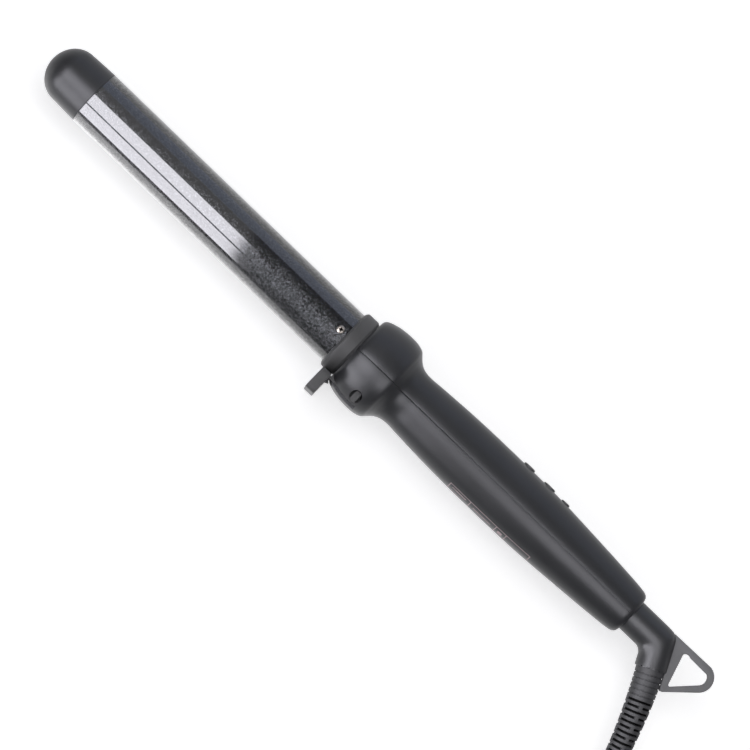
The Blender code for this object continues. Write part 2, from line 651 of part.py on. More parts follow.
# From the strain relief down to the floor and round into the coil.
CORD_ROUTE = mm([
    (406.6, -67.6, -6.7), (407.7, -71.7, -8.0), (409.0, -75.8, -9.4), (410.5, -79.7, -10.7),
    (412.1, -83.6, -12.2), (413.9, -87.4, -13.6), (415.9, -91.1, -14.9), (418.1, -94.8, -16.0),
    (420.5, -98.4, -17.0), (423.1, -101.9, -17.7),
    (426.0, -105.2, -18.2), (429.0, -108.4, -18.35), (432.2, -111.5, -18.35), (435.6, -114.3, -18.35),
    (439.1, -117.0, -18.35),
])


def cord_start():
    """The route's first point is the strain relief's end, a gap further on."""
    line = relief_line()
    return line[-1] + (line[-1] - line[-2]).normalized() * GAP


def make_cord():
    """The run of cord, and its coil as one ring with a channel where the run comes in."""
    start = cord_start()
    route = smooth_route([start, *CORD_ROUTE[1:]], 18)
    cord_curve("mains_cord", route)
    bevel = 2 * MM
    outline = [
        (0, COIL_R[0]), (COIL_HEIGHT, COIL_R[0]), (COIL_HEIGHT, COIL_R[1] - bevel),
        (COIL_HEIGHT - bevel, COIL_R[1]), (bevel, COIL_R[1]), (0, COIL_R[1] - bevel),
    ]
    ring = lathe(outline, 48)
    upright = Matrix.Rotation(-math.pi / 2, 3, "Y")
    bmesh.ops.rotate(ring, verts=ring.verts, cent=(0, 0, 0), matrix=upright)
    centre = COIL_CENTRE + Vector((0, 0, FLOOR_Z + GAP / 10))
    bmesh.ops.translate(ring, verts=ring.verts, vec=centre)
    coil = add("cord_coil", ring, rubber)
    ahead = (route[-1] - route[-2]).normalized()
    channel = route[4:] + [route[-1] + ahead * GAP]
    boolean(coil, add("cord_channel", tube(channel, CORD_R + 2 * GAP, 12), rubber, cutter=True))
    return coil


def tie_loop(grow):
    """The tie's outline round the bundle of turns, as (distance from the coil's middle, z)."""
    inner = math.sqrt(COIL_R[0] ** 2 - (TIE_WIDTH / 2 + GAP) ** 2) - GAP
    outer = COIL_R[1] + GAP
    half = (outer - inner) / 2 + grow
    middle = (outer + inner) / 2
    low = FLOOR_Z + TIE_THICK - grow
    high = FLOOR_Z + COIL_HEIGHT + GAP + grow
    return rounded(half, (high - low) / 2, 0.5 * MM + grow, (middle, (high + low) / 2))


def place_tie(bm):
    """Moves work round the coil to where the tie goes."""
    turn = Matrix.Rotation(TIE_ANGLE, 3, "Z")
    bmesh.ops.rotate(bm, verts=bm.verts, cent=(0, 0, 0), matrix=turn)
    bmesh.ops.translate(bm, verts=bm.verts, vec=COIL_CENTRE)
    return bm


def make_tie(coil):
    """A hook-and-loop strap round the turns; the lowest turn is pinched up by it."""
    half = TIE_WIDTH / 2
    band = prism(tie_loop(TIE_THICK), -half, half, "Y")
    tie = add("cord_tie", place_tie(band), soft_black)
    inside = place_tie(prism(tie_loop(0), -half - MM, half + MM, "Y"))
    boolean(tie, add("tie_inside", inside, soft_black, cutter=True))
    reach = half + GAP
    beyond = 2 * MM
    groove = block(
        (COIL_R[0] - beyond, -reach, FLOOR_Z - MM),
        (COIL_R[1] + beyond, reach, FLOOR_Z + TIE_THICK + GAP),
    )
    boolean(coil, add("tie_groove", place_tie(groove), soft_black, cutter=True))


PLUG_HEADING = math.radians(175.0)
PLUG_START = COIL_CENTRE + Vector((11.9, 18.9, FLOOR_Z / MM + 33.6)) * MM
PLUG_RELIEF = 18.0 * MM
PLUG_BODY = 26.0 * MM
PLUG_HALF_WIDTH = 12.5 * MM
PLUG_HALF_HEIGHT = 7.0 * MM
BLADE_LENGTH = 15.5 * MM
BLADE_TAPER = 2.5 * MM
BLADE_HALF_THICK = 0.75 * MM
BLADE_Y = 6.35 * MM


def tail_line():
    """From the top of the coil inwards to the plug: an arc that climbs onto the bundle."""
    centre = COIL_CENTRE + Vector((9.6, -8.0, 0)) * MM
    radius = 27 * MM
    points = []
    steps = 14
    for k in range(steps + 1):
        share = k / steps
        a = math.radians(-40 + 125 * share)
        climb = (29.75 + 3.85 * share * share * (3 - 2 * share)) * MM
        points.append(centre + Vector((radius * math.cos(a), radius * math.sin(a), FLOOR_Z + climb)))
    return points


def plug_place(bm):
    """Moves work onto the coil where the plug lies."""
    turn = Matrix.Rotation(PLUG_HEADING, 3, "Z")
    bmesh.ops.rotate(bm, verts=bm.verts, cent=(0, 0, 0), matrix=turn)
    bmesh.ops.translate(bm, verts=bm.verts, vec=PLUG_START)
    return bm


def make_plug():
    """Two-blade plug lying on the coil, with a tapered tail where the cord enters."""
    cord_curve("cord_tail", tail_line())
    rings = []
    shape = (
        (GAP, 4.0 * MM, 4.0 * MM), (PLUG_RELIEF, 5.2 * MM, 5.2 * MM),
        (PLUG_RELIEF + 4 * MM, 9.0 * MM, 6.2 * MM),
        (PLUG_RELIEF + 12 * MM, PLUG_HALF_WIDTH, PLUG_HALF_HEIGHT),
        (PLUG_RELIEF + PLUG_BODY, PLUG_HALF_WIDTH, PLUG_HALF_HEIGHT),
    )
    for x, wide, high in shape:
        outline = rounded(wide, high, min(wide, high) * 0.75, steps=3)
        rings.append([(x, y, z) for y, z in outline])
    add("plug_body", plug_place(rings_to_bmesh(rings)), rubber)
    start = PLUG_RELIEF + PLUG_BODY + GAP
    tip = start + BLADE_LENGTH
    for name, side, half in (("line", 1, 3.15 * MM), ("neutral", -1, 3.95 * MM)):
        outline = [
            (start, -half), (tip - BLADE_TAPER, -half), (tip, -half * 0.6),
            (tip, half * 0.6), (tip - BLADE_TAPER, half), (start, half),
        ]
        y = side * BLADE_Y
        blade = prism(outline, y - BLADE_HALF_THICK, y + BLADE_HALF_THICK, "Y")
        add("plug_blade_" + name, plug_place(blade), brass)


make_cool_tip()
make_barrel()
make_socket()
make_heater()
make_leads()
make_guard_ring()
make_shells()
make_shell_screws()
make_controls()
make_stand()
make_elbow()
make_swivel_contacts()
make_strain_relief()
make_tie(make_cord())
make_plug()
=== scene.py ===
"""The looks of a clipless curling iron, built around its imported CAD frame.

Metres, in the CAD frame: +x runs from the tip to the cord, +y is the side with the
buttons, +z is up. The sections follow the iron as it is put together.
"""
import math

import bmesh
import bpy
from mathutils import Matrix, Vector


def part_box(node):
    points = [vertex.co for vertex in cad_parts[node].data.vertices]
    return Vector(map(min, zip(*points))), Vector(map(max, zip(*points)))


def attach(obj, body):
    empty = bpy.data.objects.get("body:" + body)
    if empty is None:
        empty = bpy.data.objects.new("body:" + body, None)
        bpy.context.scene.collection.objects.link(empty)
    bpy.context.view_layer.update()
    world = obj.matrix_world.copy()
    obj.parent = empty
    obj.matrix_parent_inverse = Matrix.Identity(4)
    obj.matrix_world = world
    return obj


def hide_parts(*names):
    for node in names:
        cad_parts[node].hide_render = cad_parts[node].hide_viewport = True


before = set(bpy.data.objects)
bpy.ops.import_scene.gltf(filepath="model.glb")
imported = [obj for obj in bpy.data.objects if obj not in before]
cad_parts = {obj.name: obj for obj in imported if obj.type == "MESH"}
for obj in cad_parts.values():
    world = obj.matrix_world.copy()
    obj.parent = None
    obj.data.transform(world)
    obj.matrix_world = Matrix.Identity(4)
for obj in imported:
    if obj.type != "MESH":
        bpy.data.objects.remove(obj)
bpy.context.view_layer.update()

# ---------------------------------------------------------------- table and studio light
# A white sweep under the iron. Soft panels hang along the iron's length, and the long
# glossy barrel shows their edges as bright bands with thin dark lines between them.
MM = 0.001
CREASE = math.radians(35)  # edges sharper than this are not smoothed
tip_low, tip_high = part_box("cool_tip")
tip_point = Vector((tip_low.x, (tip_low.y + tip_high.y) / 2, (tip_low.z + tip_high.z) / 2))


def at(x, y=0.0, z=0.0):
    """A place in millimetres from the tip: along the axis, towards the buttons, up."""
    return tip_point + Vector((x, y, z)) * MM


def put(name, bm, look):
    """Makes an object of a bmesh, shaded smooth but for its sharp edges."""
    bmesh.ops.recalc_face_normals(bm, faces=bm.faces)
    mesh = bpy.data.meshes.new(name)
    bm.to_mesh(mesh)
    bm.free()
    mesh.materials.append(look)
    mesh.shade_smooth()
    mesh.set_sharp_from_angle(angle=CREASE)
    made = bpy.data.objects.new(name, mesh)
    bpy.context.scene.collection.objects.link(made)
    return made


def blank_finish(name):
    """An empty Principled finish: the material, its node tree and its shader."""
    made = bpy.data.materials.new(name)
    made.use_nodes = True
    return made, made.node_tree, made.node_tree.nodes["Principled BSDF"]


table_finish, _, table_shader = blank_finish("studio_table")
table_shader.inputs["Base Color"].default_value = (0.86, 0.86, 0.87, 1.0)
table_shader.inputs["Roughness"].default_value = 0.9
table_shader.inputs["Emission Color"].default_value = (1.0, 1.0, 1.0, 1.0)
table_shader.inputs["Emission Strength"].default_value = 0.62
table_mesh = bmesh.new()
TABLE_HALF = 3.0
bmesh.ops.create_grid(table_mesh, x_segments=1, y_segments=1, size=TABLE_HALF)
table = put("studio_table", table_mesh, table_finish)
table.location.z = -0.0002

world = bpy.data.worlds.new("studio_air")
world.use_nodes = True
world.node_tree.nodes["Background"].inputs["Color"].default_value = (0.98, 0.98, 1.0, 1.0)
world.node_tree.nodes["Background"].inputs["Strength"].default_value = 0.20
bpy.context.scene.world = world
bpy.context.scene.view_settings.view_transform = "Standard"


def panel(name, lean, x_from, x_to, width, glow, tint=(1.0, 1.0, 1.0), distance=1200.0):
    """A soft light that faces the iron's axis; lean is in degrees from above towards -y."""
    light = bpy.data.lights.new(name, "AREA")
    light.shape = "RECTANGLE"
    light.size = (x_to - x_from) * MM
    light.size_y = width * MM
    light.energy = glow * math.pi * light.size * light.size_y
    light.color = tint
    made = bpy.data.objects.new(name, light)
    a = math.radians(lean)
    back = Vector((0.0, -math.sin(a), math.cos(a)))
    along = Vector((1.0, 0.0, 0.0))
    turned = Matrix((along, back.cross(along), back)).transposed().to_4x4()
    made.matrix_world = Matrix.Translation(at((x_from + x_to) / 2) + back * distance * MM) @ turned
    made.visible_camera = False
    bpy.context.scene.collection.objects.link(made)
    return made


def card(name, x_from, x_to, y_from, y_to, height, look):
    """A flat card just over the table, seen only as a reflection in glossy surfaces."""
    corners = bmesh.new()
    corners.faces.new([corners.verts.new(at(x, y, height)) for x, y in
                       ((x_from, y_from), (x_to, y_from), (x_to, y_to), (x_from, y_to))])
    made = put(name, corners, look)
    made.visible_camera = False
    made.visible_diffuse = False
    made.visible_shadow = False


# The two bright bands on the barrel, the soft light along the handle, and a cool fill.
BAND_FROM, BAND_TO = -920, 81  # the bands fade out where these panels end
for made in (
    panel("barrel_panel_high", 13.0, BAND_FROM, BAND_TO, 920, 15.5, (1.0, 0.99, 1.06)),
    panel("barrel_panel_low", 60.9, BAND_FROM, BAND_TO, 945, 15.5, (1.0, 0.99, 1.06)),
    panel("barrel_spill_panel", -30.0, BAND_FROM, BAND_TO, 920, 0.9),
    panel("handle_panel", 15.0, 300, 1300, 890, 9.5, (1.0, 0.99, 1.04)),
    panel("cool_fill_panel", -75.0, -950, 1250, 1130, 1.25, (0.80, 0.89, 1.13)),
):
    made.visible_diffuse = False
key = panel("key_panel", -20.0, -450, 750, 1100, 1.7, distance=1500.0)
key.visible_glossy = False


def wired(tree, kind, source=None, into=0, **values):
    """Adds a shader node, sets its inputs by name and feeds one of them from a socket."""
    node = tree.nodes.new("ShaderNode" + kind)
    for key, value in values.items():
        node.inputs[key.replace("_", " ")].default_value = value
    if source is not None:
        tree.links.new(source, node.inputs[into])
    return node


def placed(tree, kind, **values):
    """Adds a node that is fed with a place in the object's own space."""
    return wired(tree, kind, wired(tree, "TexCoord").outputs["Object"], "Vector", **values)


# A bright card close on the plain side, brightest by the tip, and a black one beyond it.
CARD_Z = -20.6
CARDS_MEET = -262
glow_finish, glow_tree, glow_shader = blank_finish("bounce_card")
glow_axes = placed(glow_tree, "SeparateXYZ")
glow_fade = wired(glow_tree, "MapRange", glow_axes.outputs["X"], "Value",
                  From_Min=at(40).x, From_Max=at(175).x, To_Min=2.2, To_Max=1.4)
glow_shader.inputs["Emission Color"].default_value = (1.0, 1.0, 1.0, 1.0)
glow_tree.links.new(glow_fade.outputs["Result"], glow_shader.inputs["Emission Strength"])
glow_shader.inputs["Base Color"].default_value = (0.0, 0.0, 0.0, 1.0)
card("bounce_card", -500, 420, CARDS_MEET, -20, CARD_Z, glow_finish)
flag_finish, _, flag_shader = blank_finish("black_flag")
flag_shader.inputs["Base Color"].default_value = (0.01, 0.01, 0.01, 1.0)
flag_shader.inputs["Roughness"].default_value = 0.9
card("black_flag", -1000, 1300, -1500, CARDS_MEET, CARD_Z, flag_finish)

# ---------------------------------------------------------------- camera
# Nearly straight above the iron, which lies from the upper left to the lower right. It
# leans a little towards the plain side, so that the flank there shows.
AXIS_TURN = math.radians(43.97)  # how far the iron points below the level
VIEW_WIDTH = 338.7 * MM
EYE_DISTANCE = 1.8
EYE_LEAN = math.radians(3.0)
aim = at(203.9, -2.2)
back = Vector((0.0, -math.sin(EYE_LEAN), math.cos(EYE_LEAN)))
across = Vector((math.cos(AXIS_TURN), math.sin(AXIS_TURN), 0.0))
up = back.cross(across).normalized()
lens = bpy.data.cameras.new("camera")
lens.sensor_width = 36.0
lens.lens = lens.sensor_width * EYE_DISTANCE / VIEW_WIDTH
lens.clip_start = 0.05
camera = bpy.data.objects.new("camera", lens)
camera.matrix_world = (
    Matrix.Translation(aim + back * EYE_DISTANCE)
    @ Matrix((up.cross(back), up, back)).transposed().to_4x4()
)
bpy.context.scene.collection.objects.link(camera)
bpy.context.scene.camera = camera

# ---------------------------------------------------------------- mains cord
# Round two-core cord with a black rubber jacket. It leaves the strain relief, drops to
# the table and is put away in a neat coil of eight turns, with its plug on top.
CORD_D = 6.5 * MM
FLOOR = -tip_point.z / MM  # the table's height in the tip frame
COIL_MIDDLE = (461.8, -84.6)
COIL_OUTER, COIL_INNER = 39.5, 33.0
TIE_ANGLE = 40.0
ROUTE = (
    (406.6, -67.6, -6.7), (407.7, -71.7, -8.0), (409.0, -75.8, -9.4), (410.5, -79.7, -10.7),
    (412.1, -83.6, -12.2), (413.9, -87.4, -13.6), (415.9, -91.1, -14.9), (418.1, -94.8, -16.0),
    (420.5, -98.4, -17.0), (423.1, -101.9, -17.7), (426.0, -105.2, -18.2), (429.0, -108.4, -18.35),
    (432.2, -111.5, -18.35), (435.6, -114.3, -18.35), (439.1, -117.0, -18.35),
)


def ease(share):
    """A smooth step from 0 to 1."""
    share = min(max(share, 0.0), 1.0)
    return share * share * (3 - 2 * share)


def coil_turns():
    """Points round the coil, a diameter apart, passing from turn to turn at staggered places."""
    start, overrun, step = 235.0, 78.0, 6.0
    turns = ((0, 0), (1, 0), (1, 1), (0, 1), (0, 2), (1, 2), (1, 3), (0, 3))
    pass_over, stagger, last_rise, lift = 42.0, 45.0, 60.0, CORD_D / MM
    pinch_high, pinch_wide = 1.3, 20.0
    radius = {0: COIL_OUTER, 1: COIL_INNER}
    ends = [start - 8.0 - stagger * k + 360.0 * (k + 1) for k in range(len(turns) - 1)]
    last = 360.0 * (len(turns) - 1) + start + overrun
    points = []
    angle = start + 4.0
    while angle <= last:
        out, level = float(radius[turns[0][0]]), 0.0
        for k, end in enumerate(ends):
            share = ease((angle - (end - pass_over)) / pass_over)
            out += share * (radius[turns[k + 1][0]] - radius[turns[k][0]])
            level += share * (turns[k + 1][1] - turns[k][1])
        level += ease((angle - (last - last_rise)) / last_rise)
        a = math.radians(angle)
        from_tie = (angle - TIE_ANGLE + 180.0) % 360.0 - 180.0
        pinch = pinch_high * max(0.0, 1 - level / 3) * math.exp(-(from_tie / pinch_wide) ** 2)
        height = FLOOR + lift / 2 + lift * level + pinch
        points.append((COIL_MIDDLE[0] + out * math.cos(a), COIL_MIDDLE[1] + out * math.sin(a), height))
        angle += step
    return points


def tail_points():
    """From the top turn inwards over the coil to the plug."""
    middle = (COIL_MIDDLE[0] + 9.6, COIL_MIDDLE[1] - 8.0)
    bend, start, sweep, steps = 27, -40, 125, 12
    low, rise = FLOOR + 29.75, 3.85
    points = []
    for k in range(1, steps + 1):
        share = k / steps
        a = math.radians(start + sweep * share)
        points.append((middle[0] + bend * math.cos(a), middle[1] + bend * math.sin(a),
                       low + rise * ease(share)))
    return points


def toned(tree, source, dark, light, shader, low=0.0, high=1.0):
    """Colours the shader by a ramp between two tones."""
    tone = wired(tree, "ValToRGB", source, "Fac")
    for element, place, colour in zip(tone.color_ramp.elements, (low, high), (dark, light)):
        element.position = place
        element.color = (*colour, 1.0)
    tree.links.new(tone.outputs["Color"], shader.inputs["Base Color"])


def bumped(tree, source, shader, strength, distance):
    """Raises the shader's surface by a texture."""
    bump = wired(tree, "Bump", source, "Height", Strength=strength, Distance=distance)
    tree.links.new(bump.outputs["Normal"], shader.inputs["Normal"])


def rubber_finish(name, dark, light, gloss=0.2):
    """Soft black rubber with a faint drawn grain along the surface."""
    made, tree, shader = blank_finish(name)
    grain = placed(tree, "TexNoise", Scale=900.0, Detail=3.0)
    toned(tree, grain.outputs["Fac"], (dark, dark, dark * 1.08), (light, light, light * 1.08), shader)
    bumped(tree, grain.outputs["Fac"], shader, 0.25, 0.0001)
    shader.inputs["Specular IOR Level"].default_value = gloss
    shader.inputs["Roughness"].default_value = 0.55
    return made


jacket = rubber_finish("cord_jacket", 0.030, 0.055)
line = [at(*point) for point in [*ROUTE, *coil_turns(), *tail_points()]]
curve = bpy.data.curves.new("mains_cord_jacket", "CURVE")
curve.dimensions = "3D"
curve.bevel_depth = CORD_D / 2
curve.bevel_resolution = 5
curve.use_fill_caps = True
spline = curve.splines.new("POLY")
spline.points.add(len(line) - 1)
for spot, place in zip(spline.points, line):
    spot.co = (*place, 1.0)
curve.materials.append(jacket)
cord = bpy.data.objects.new("mains_cord_jacket", curve)
bpy.context.scene.collection.objects.link(cord)
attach(cord, "swivel")
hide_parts("mains_cord", "cord_coil", "cord_tail")

# ---------------------------------------------------------------- moulded plug
# Two-blade plug moulded onto the cord: a ribbed tail, a waisted grip with finger ridges,
# and a flat face that the blades stand out of.
PLUG_START = at(COIL_MIDDLE[0] + 11.9, COIL_MIDDLE[1] + 18.9, FLOOR + 33.6)
PLUG_TURN = Matrix.Rotation(math.radians(175.0), 4, "Z")


def skin(rings, loop=False):
    """Skins rings of equally many points in order, with flat ends unless they close on themselves."""
    bm = bmesh.new()
    made = [[bm.verts.new(point) for point in ring] for ring in rings]
    pairs = list(zip(made, made[1:]))
    if loop:
        pairs.append((made[-1], made[0]))
    for one, two in pairs:
        for k in range(len(one)):
            n = (k + 1) % len(one)
            bm.faces.new((one[k], one[n], two[n], two[k]))
    if not loop:
        bm.faces.new(made[0])
        bm.faces.new(made[-1])
    return bm


def superoval(wide, high, power, sides):
    """A rounded oblong; a higher power has squarer corners."""
    points = []
    for k in range(sides):
        a = math.tau * k / sides
        c, s = math.cos(a), math.sin(a)
        size = (abs(c) ** power + abs(s) ** power) ** (-1 / power)
        points.append((wide * c * size, high * s * size))
    return points


def plug_rings():
    """Sections of the plug along its length, in millimetres."""
    start, length, steps = 0.3, 43.7, 132
    tail_r, tail_swell, grip_wide, grip_high = 4.0, 1.2, 12.3, 6.9
    groove_pitch, ridge_pitch, front_edge = 3.2, 2.6, 44.0
    rings = []
    for k in range(steps + 1):
        x = start + length * k / steps
        tail = tail_r + tail_swell * min(x / 18.0, 1.0)
        swell = ease((x - 17.0) / 12.5)
        wide = tail + (grip_wide - tail) * swell
        high = tail + (grip_high - tail) * swell
        if 2.0 < x < 16.5:
            groove = max(0.0, math.cos(math.tau * x / groove_pitch)) ** 3
            wide -= 0.6 * groove
            high -= 0.6 * groove
        if 30.0 < x < 41.0:
            wide -= 0.5 * max(0.0, math.cos(math.tau * (x - 30.5) / ridge_pitch)) ** 2
        edge = max(0.0, 1.0 - (front_edge - x))
        wide -= 0.7 * edge * edge
        high -= 0.7 * edge * edge
        rings.append([(x, y, z) for y, z in superoval(wide, high, 2.0 + 1.6 * swell, 48)])
    return rings


def on_plug(bm):
    """Moves millimetre work to the plug's place, turned round to face along -x."""
    bmesh.ops.scale(bm, verts=bm.verts, vec=(MM, MM, MM))
    bmesh.ops.transform(bm, verts=bm.verts, matrix=Matrix.Translation(PLUG_START) @ PLUG_TURN)
    return bm


plug = put("plug_moulding", on_plug(skin(plug_rings())), jacket)
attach(plug, "swivel")
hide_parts("plug_body")


def brushed_metal(name, colour, roughness):
    """Stamped or turned metal with fine scratches along x."""
    made, tree, shader = blank_finish(name)
    stretch = placed(tree, "Mapping", Scale=(400.0, 4000.0, 4000.0))
    scratch = wired(tree, "TexNoise", stretch.outputs["Vector"], "Vector", Scale=1.0, Detail=4.0)
    rough = wired(tree, "MapRange", scratch.outputs["Fac"], "Value",
                  To_Min=roughness * 0.7, To_Max=roughness * 1.3)
    tree.links.new(rough.outputs["Result"], shader.inputs["Roughness"])
    toned(tree, scratch.outputs["Fac"], [c * 0.8 for c in colour], colour, shader)
    shader.inputs["Metallic"].default_value = 1.0
    return made


def circle(radius, sides):
    """Points of a circle about (0, 0)."""
    turns = [math.tau * k / sides for k in range(sides)]
    return [(radius * math.cos(a), radius * math.sin(a)) for a in turns]


blade_brass = brushed_metal("blade_brass", (0.83, 0.68, 0.40), 0.28)
BLADE_GAP, BLADE_HALF_THICK = 6.35, 0.75
BLADE_FROM, BLADE_TO = 44.3, 59.8
BLADE_HOLE_X, BLADE_HOLE_R = 56.0, 1.6
for word, side, half in (("line", 1, 3.15), ("neutral", -1, 3.95)):
    outline = [(BLADE_FROM, -half), (BLADE_TO - 2.4, -half), (BLADE_TO - 0.5, -half * 0.62),
               (BLADE_TO, -half * 0.4), (BLADE_TO, half * 0.4), (BLADE_TO - 0.5, half * 0.62),
               (BLADE_TO - 2.4, half), (BLADE_FROM, half)]
    y = side * BLADE_GAP
    faces = (y - BLADE_HALF_THICK, y + BLADE_HALF_THICK)
    blade = put(
        "plug_blade_" + word + "_stamping",
        on_plug(skin([[(x, face, z) for x, z in outline] for face in faces])),
        blade_brass,
    )
    soften = blade.modifiers.new("rounded_edges", "BEVEL")
    soften.width = 0.2 * MM
    soften.segments = 2
    hole = skin([[(BLADE_HOLE_X + u, y + face, v) for u, v in circle(BLADE_HOLE_R, 24)] for face in (-2, 2)])
    punch = put("punch_" + word, on_plug(hole), blade_brass)
    punch.hide_render = True
    punch.hide_viewport = True
    cut = blade.modifiers.new("hole", "BOOLEAN")
    cut.object = punch
    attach(blade, "swivel")
    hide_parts("plug_blade_" + word)

# ---------------------------------------------------------------- cord tie
# A black hook-and-loop strap pulled round the turns, so that the lowest one is pinched
# up off the table where the strap passes under it.
TIE_WIDTH = 12.0
TIE_LOW, TIE_HIGH = FLOOR + 1.0, FLOOR + 26.3
TIE_IN, TIE_OUT = 28.77, 43.05


def soft_corners(outline, closed=True, steps=5):
    """Rounds the corners of an outline of (x, y, corner radius) points."""
    count = len(outline)
    points = []
    for k, (x, y, radius) in enumerate(outline):
        here = Vector((x, y))
        if radius <= 0 or (not closed and k in (0, count - 1)):
            points.append((x, y))
            continue
        before = Vector(outline[k - 1][:2]) - here
        after = Vector(outline[(k + 1) % count][:2]) - here
        half = before.angle(after) / 2
        reach = min(radius / math.tan(half), 0.49 * before.length, 0.49 * after.length)
        one, two = here + before.normalized() * reach, here + after.normalized() * reach
        for j in range(steps + 1):
            t = j / steps
            spot = one * (1 - t) ** 2 + here * 2 * t * (1 - t) + two * t * t
            points.append((spot.x, spot.y))
    return points


def woven_strap():
    """Black nylon: a fine plain weave with a soft nap that lightens it at a grazing angle."""
    made, tree, shader = blank_finish("woven_strap")
    weave = placed(tree, "TexChecker", Scale=1400.0)
    fuzz = placed(tree, "TexNoise", Scale=2500.0)
    blend = wired(tree, "Math", weave.outputs["Fac"])
    blend.operation = "MULTIPLY_ADD"
    blend.inputs[1].default_value = 0.4
    tree.links.new(fuzz.outputs["Fac"], blend.inputs[2])
    toned(tree, blend.outputs["Value"], (0.012, 0.012, 0.014), (0.040, 0.040, 0.044), shader)
    bumped(tree, blend.outputs["Value"], shader, 0.6, 0.0002)
    shader.inputs["Roughness"].default_value = 0.9
    shader.inputs["Sheen Weight"].default_value = 0.3
    return made


def tie_path(grow):
    """The strap's way round the bundle, as (distance from the coil's middle, height)."""
    corner = 2.2 + grow
    low, high = TIE_LOW - grow, TIE_HIGH + grow
    near, far = TIE_IN - grow, TIE_OUT + grow
    return soft_corners([(far, low, corner), (far, high, corner), (near, high, corner),
                         (near, low, corner)], steps=8)


def on_coil(out, aside, height):
    """A place on the tie: out from the coil's middle, across the strap, and up."""
    a = math.radians(TIE_ANGLE)
    return at(COIL_MIDDLE[0] + out * math.cos(a) - aside * math.sin(a),
              COIL_MIDDLE[1] + out * math.sin(a) + aside * math.cos(a), height)


half, edge = TIE_WIDTH / 2, 0.2
sections = []
for (r0, z0), (r1, z1) in zip(tie_path(0.05), tie_path(0.95)):
    sections.append([on_coil(r0, -half + edge, z0), on_coil(r0, half - edge, z0),
                     on_coil((r0 + r1) / 2, half, (z0 + z1) / 2), on_coil(r1, half - edge, z1),
                     on_coil(r1, -half + edge, z1), on_coil((r0 + r1) / 2, -half, (z0 + z1) / 2)])
tie = put("hook_and_loop_tie", skin(sections, loop=True), woven_strap())
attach(tie, "swivel")
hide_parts("cord_tie")

# ---------------------------------------------------------------- ribbed strain relief
# Moulded rubber sleeve that keeps the cord from kinking at the swivel. Five closed rings
# come first. Pairs of slots follow, with a thin web between them that lies on top of one
# pair and at the sides of the next.
ELBOW_CORNER = Vector((379.8, 0.0, 0.0))
ELBOW_TURN = math.radians(63.8)
LEG = Vector((math.cos(ELBOW_TURN), -math.sin(ELBOW_TURN), 0.0))
LEG_END = ELBOW_CORNER + LEG * 12.9
RELIEF_LENGTH = 60.0
RIB_PITCH = 2.5
CLOSED_RINGS, RIBS = 5, 22
RING_HALF, SLOT_HALF = 0.30, 0.56  # half widths of the grooves
GROOVE_WALL = 0.14
SLEEVE_R, SLEEVE_TAPER = 6.7, 2.1
SLEEVE_SIDES = 96
FINE = 600  # steps along the sleeve's centre line


def relief_path():
    """The sleeve's centre line, turning a little and drooping under its own weight."""
    step = RELIEF_LENGTH / FINE
    point = LEG_END + LEG * 0.3
    points = [point.copy()]
    for k in range(FINE):
        share = (k + 0.5) / FINE
        heading = -ELBOW_TURN - math.radians(11.2) * share
        dip = math.radians(16.0) * share ** 1.5
        point += Vector((math.cos(heading) * math.cos(dip), math.sin(heading) * math.cos(dip),
                         -math.sin(dip))) * step
        points.append(point.copy())
    return points


def groove_half(row):
    """Half the width of the groove in a row."""
    return RING_HALF if row <= CLOSED_RINGS else SLOT_HALF


def groove_depth(along, a):
    """How deep the sleeve is cut, at a length along it and an angle round it (up is 90)."""
    row = round(along / RIB_PITCH)
    away = abs(along - row * RIB_PITCH)
    if row < 1 or row > RIBS:
        return 0.0
    cut = min(max((groove_half(row) - away) / GROOVE_WALL, 0.0), 1.0)
    if row <= CLOSED_RINGS:
        return 0.45 * cut
    to_side = min(abs(a), abs(a - 180.0), abs(a - 360.0))
    if row % 2:
        to_web = min(abs(a - 100.0), abs(a - 280.0))
        cut *= ease((to_web - 9.0) / 3.0) * (0.3 + 0.7 * ease((to_side - 12.0) / 14.0))
    else:
        cut *= ease((to_side - 9.0) / 4.0)
    return 1.5 * cut


def sleeve_rings():
    """Rings along the sleeve, close together where a groove's walls are steep."""
    spots = [0.0, 0.15]
    for row in range(1, RIBS + 1):
        half_width = groove_half(row)
        for off in (-half_width - 0.02, -half_width + GROOVE_WALL,
                    half_width - GROOVE_WALL, half_width + 0.02):
            spots.append(row * RIB_PITCH + off)
        spots.append((row + 0.5) * RIB_PITCH)
    spots += [58.6, 59.3, 59.75, RELIEF_LENGTH]
    path = relief_path()
    side = Vector((0.0, 0.0, 1.0))
    middles = [path[0] - LEG * 0.6]
    rings = [[at(*(middles[0] + LEG.cross(side) * u + side * v)) for u, v in circle(SLEEVE_R, SLEEVE_SIDES)]]
    for along in sorted(spots):
        k = min(round(along / RELIEF_LENGTH * FINE), FINE)
        middle = path[k]
        ahead = (path[min(k + 1, FINE)] - path[max(k - 1, 0)]).normalized()
        lift = (side - ahead * side.dot(ahead)).normalized()
        flank = ahead.cross(lift)
        radius = SLEEVE_R - SLEEVE_TAPER * (along / RELIEF_LENGTH) ** 1.15
        radius -= 0.6 * max(0.0, (along - 59.2) / 0.8) ** 2
        ring = []
        for j in range(SLEEVE_SIDES):
            a = math.tau * j / SLEEVE_SIDES
            own = radius - groove_depth(along, math.degrees(a))
            ring.append(at(*(middle + flank * (own * math.cos(a)) + lift * (own * math.sin(a)))))
        rings.append(ring)
        middles.append(middle)
    return rings, middles


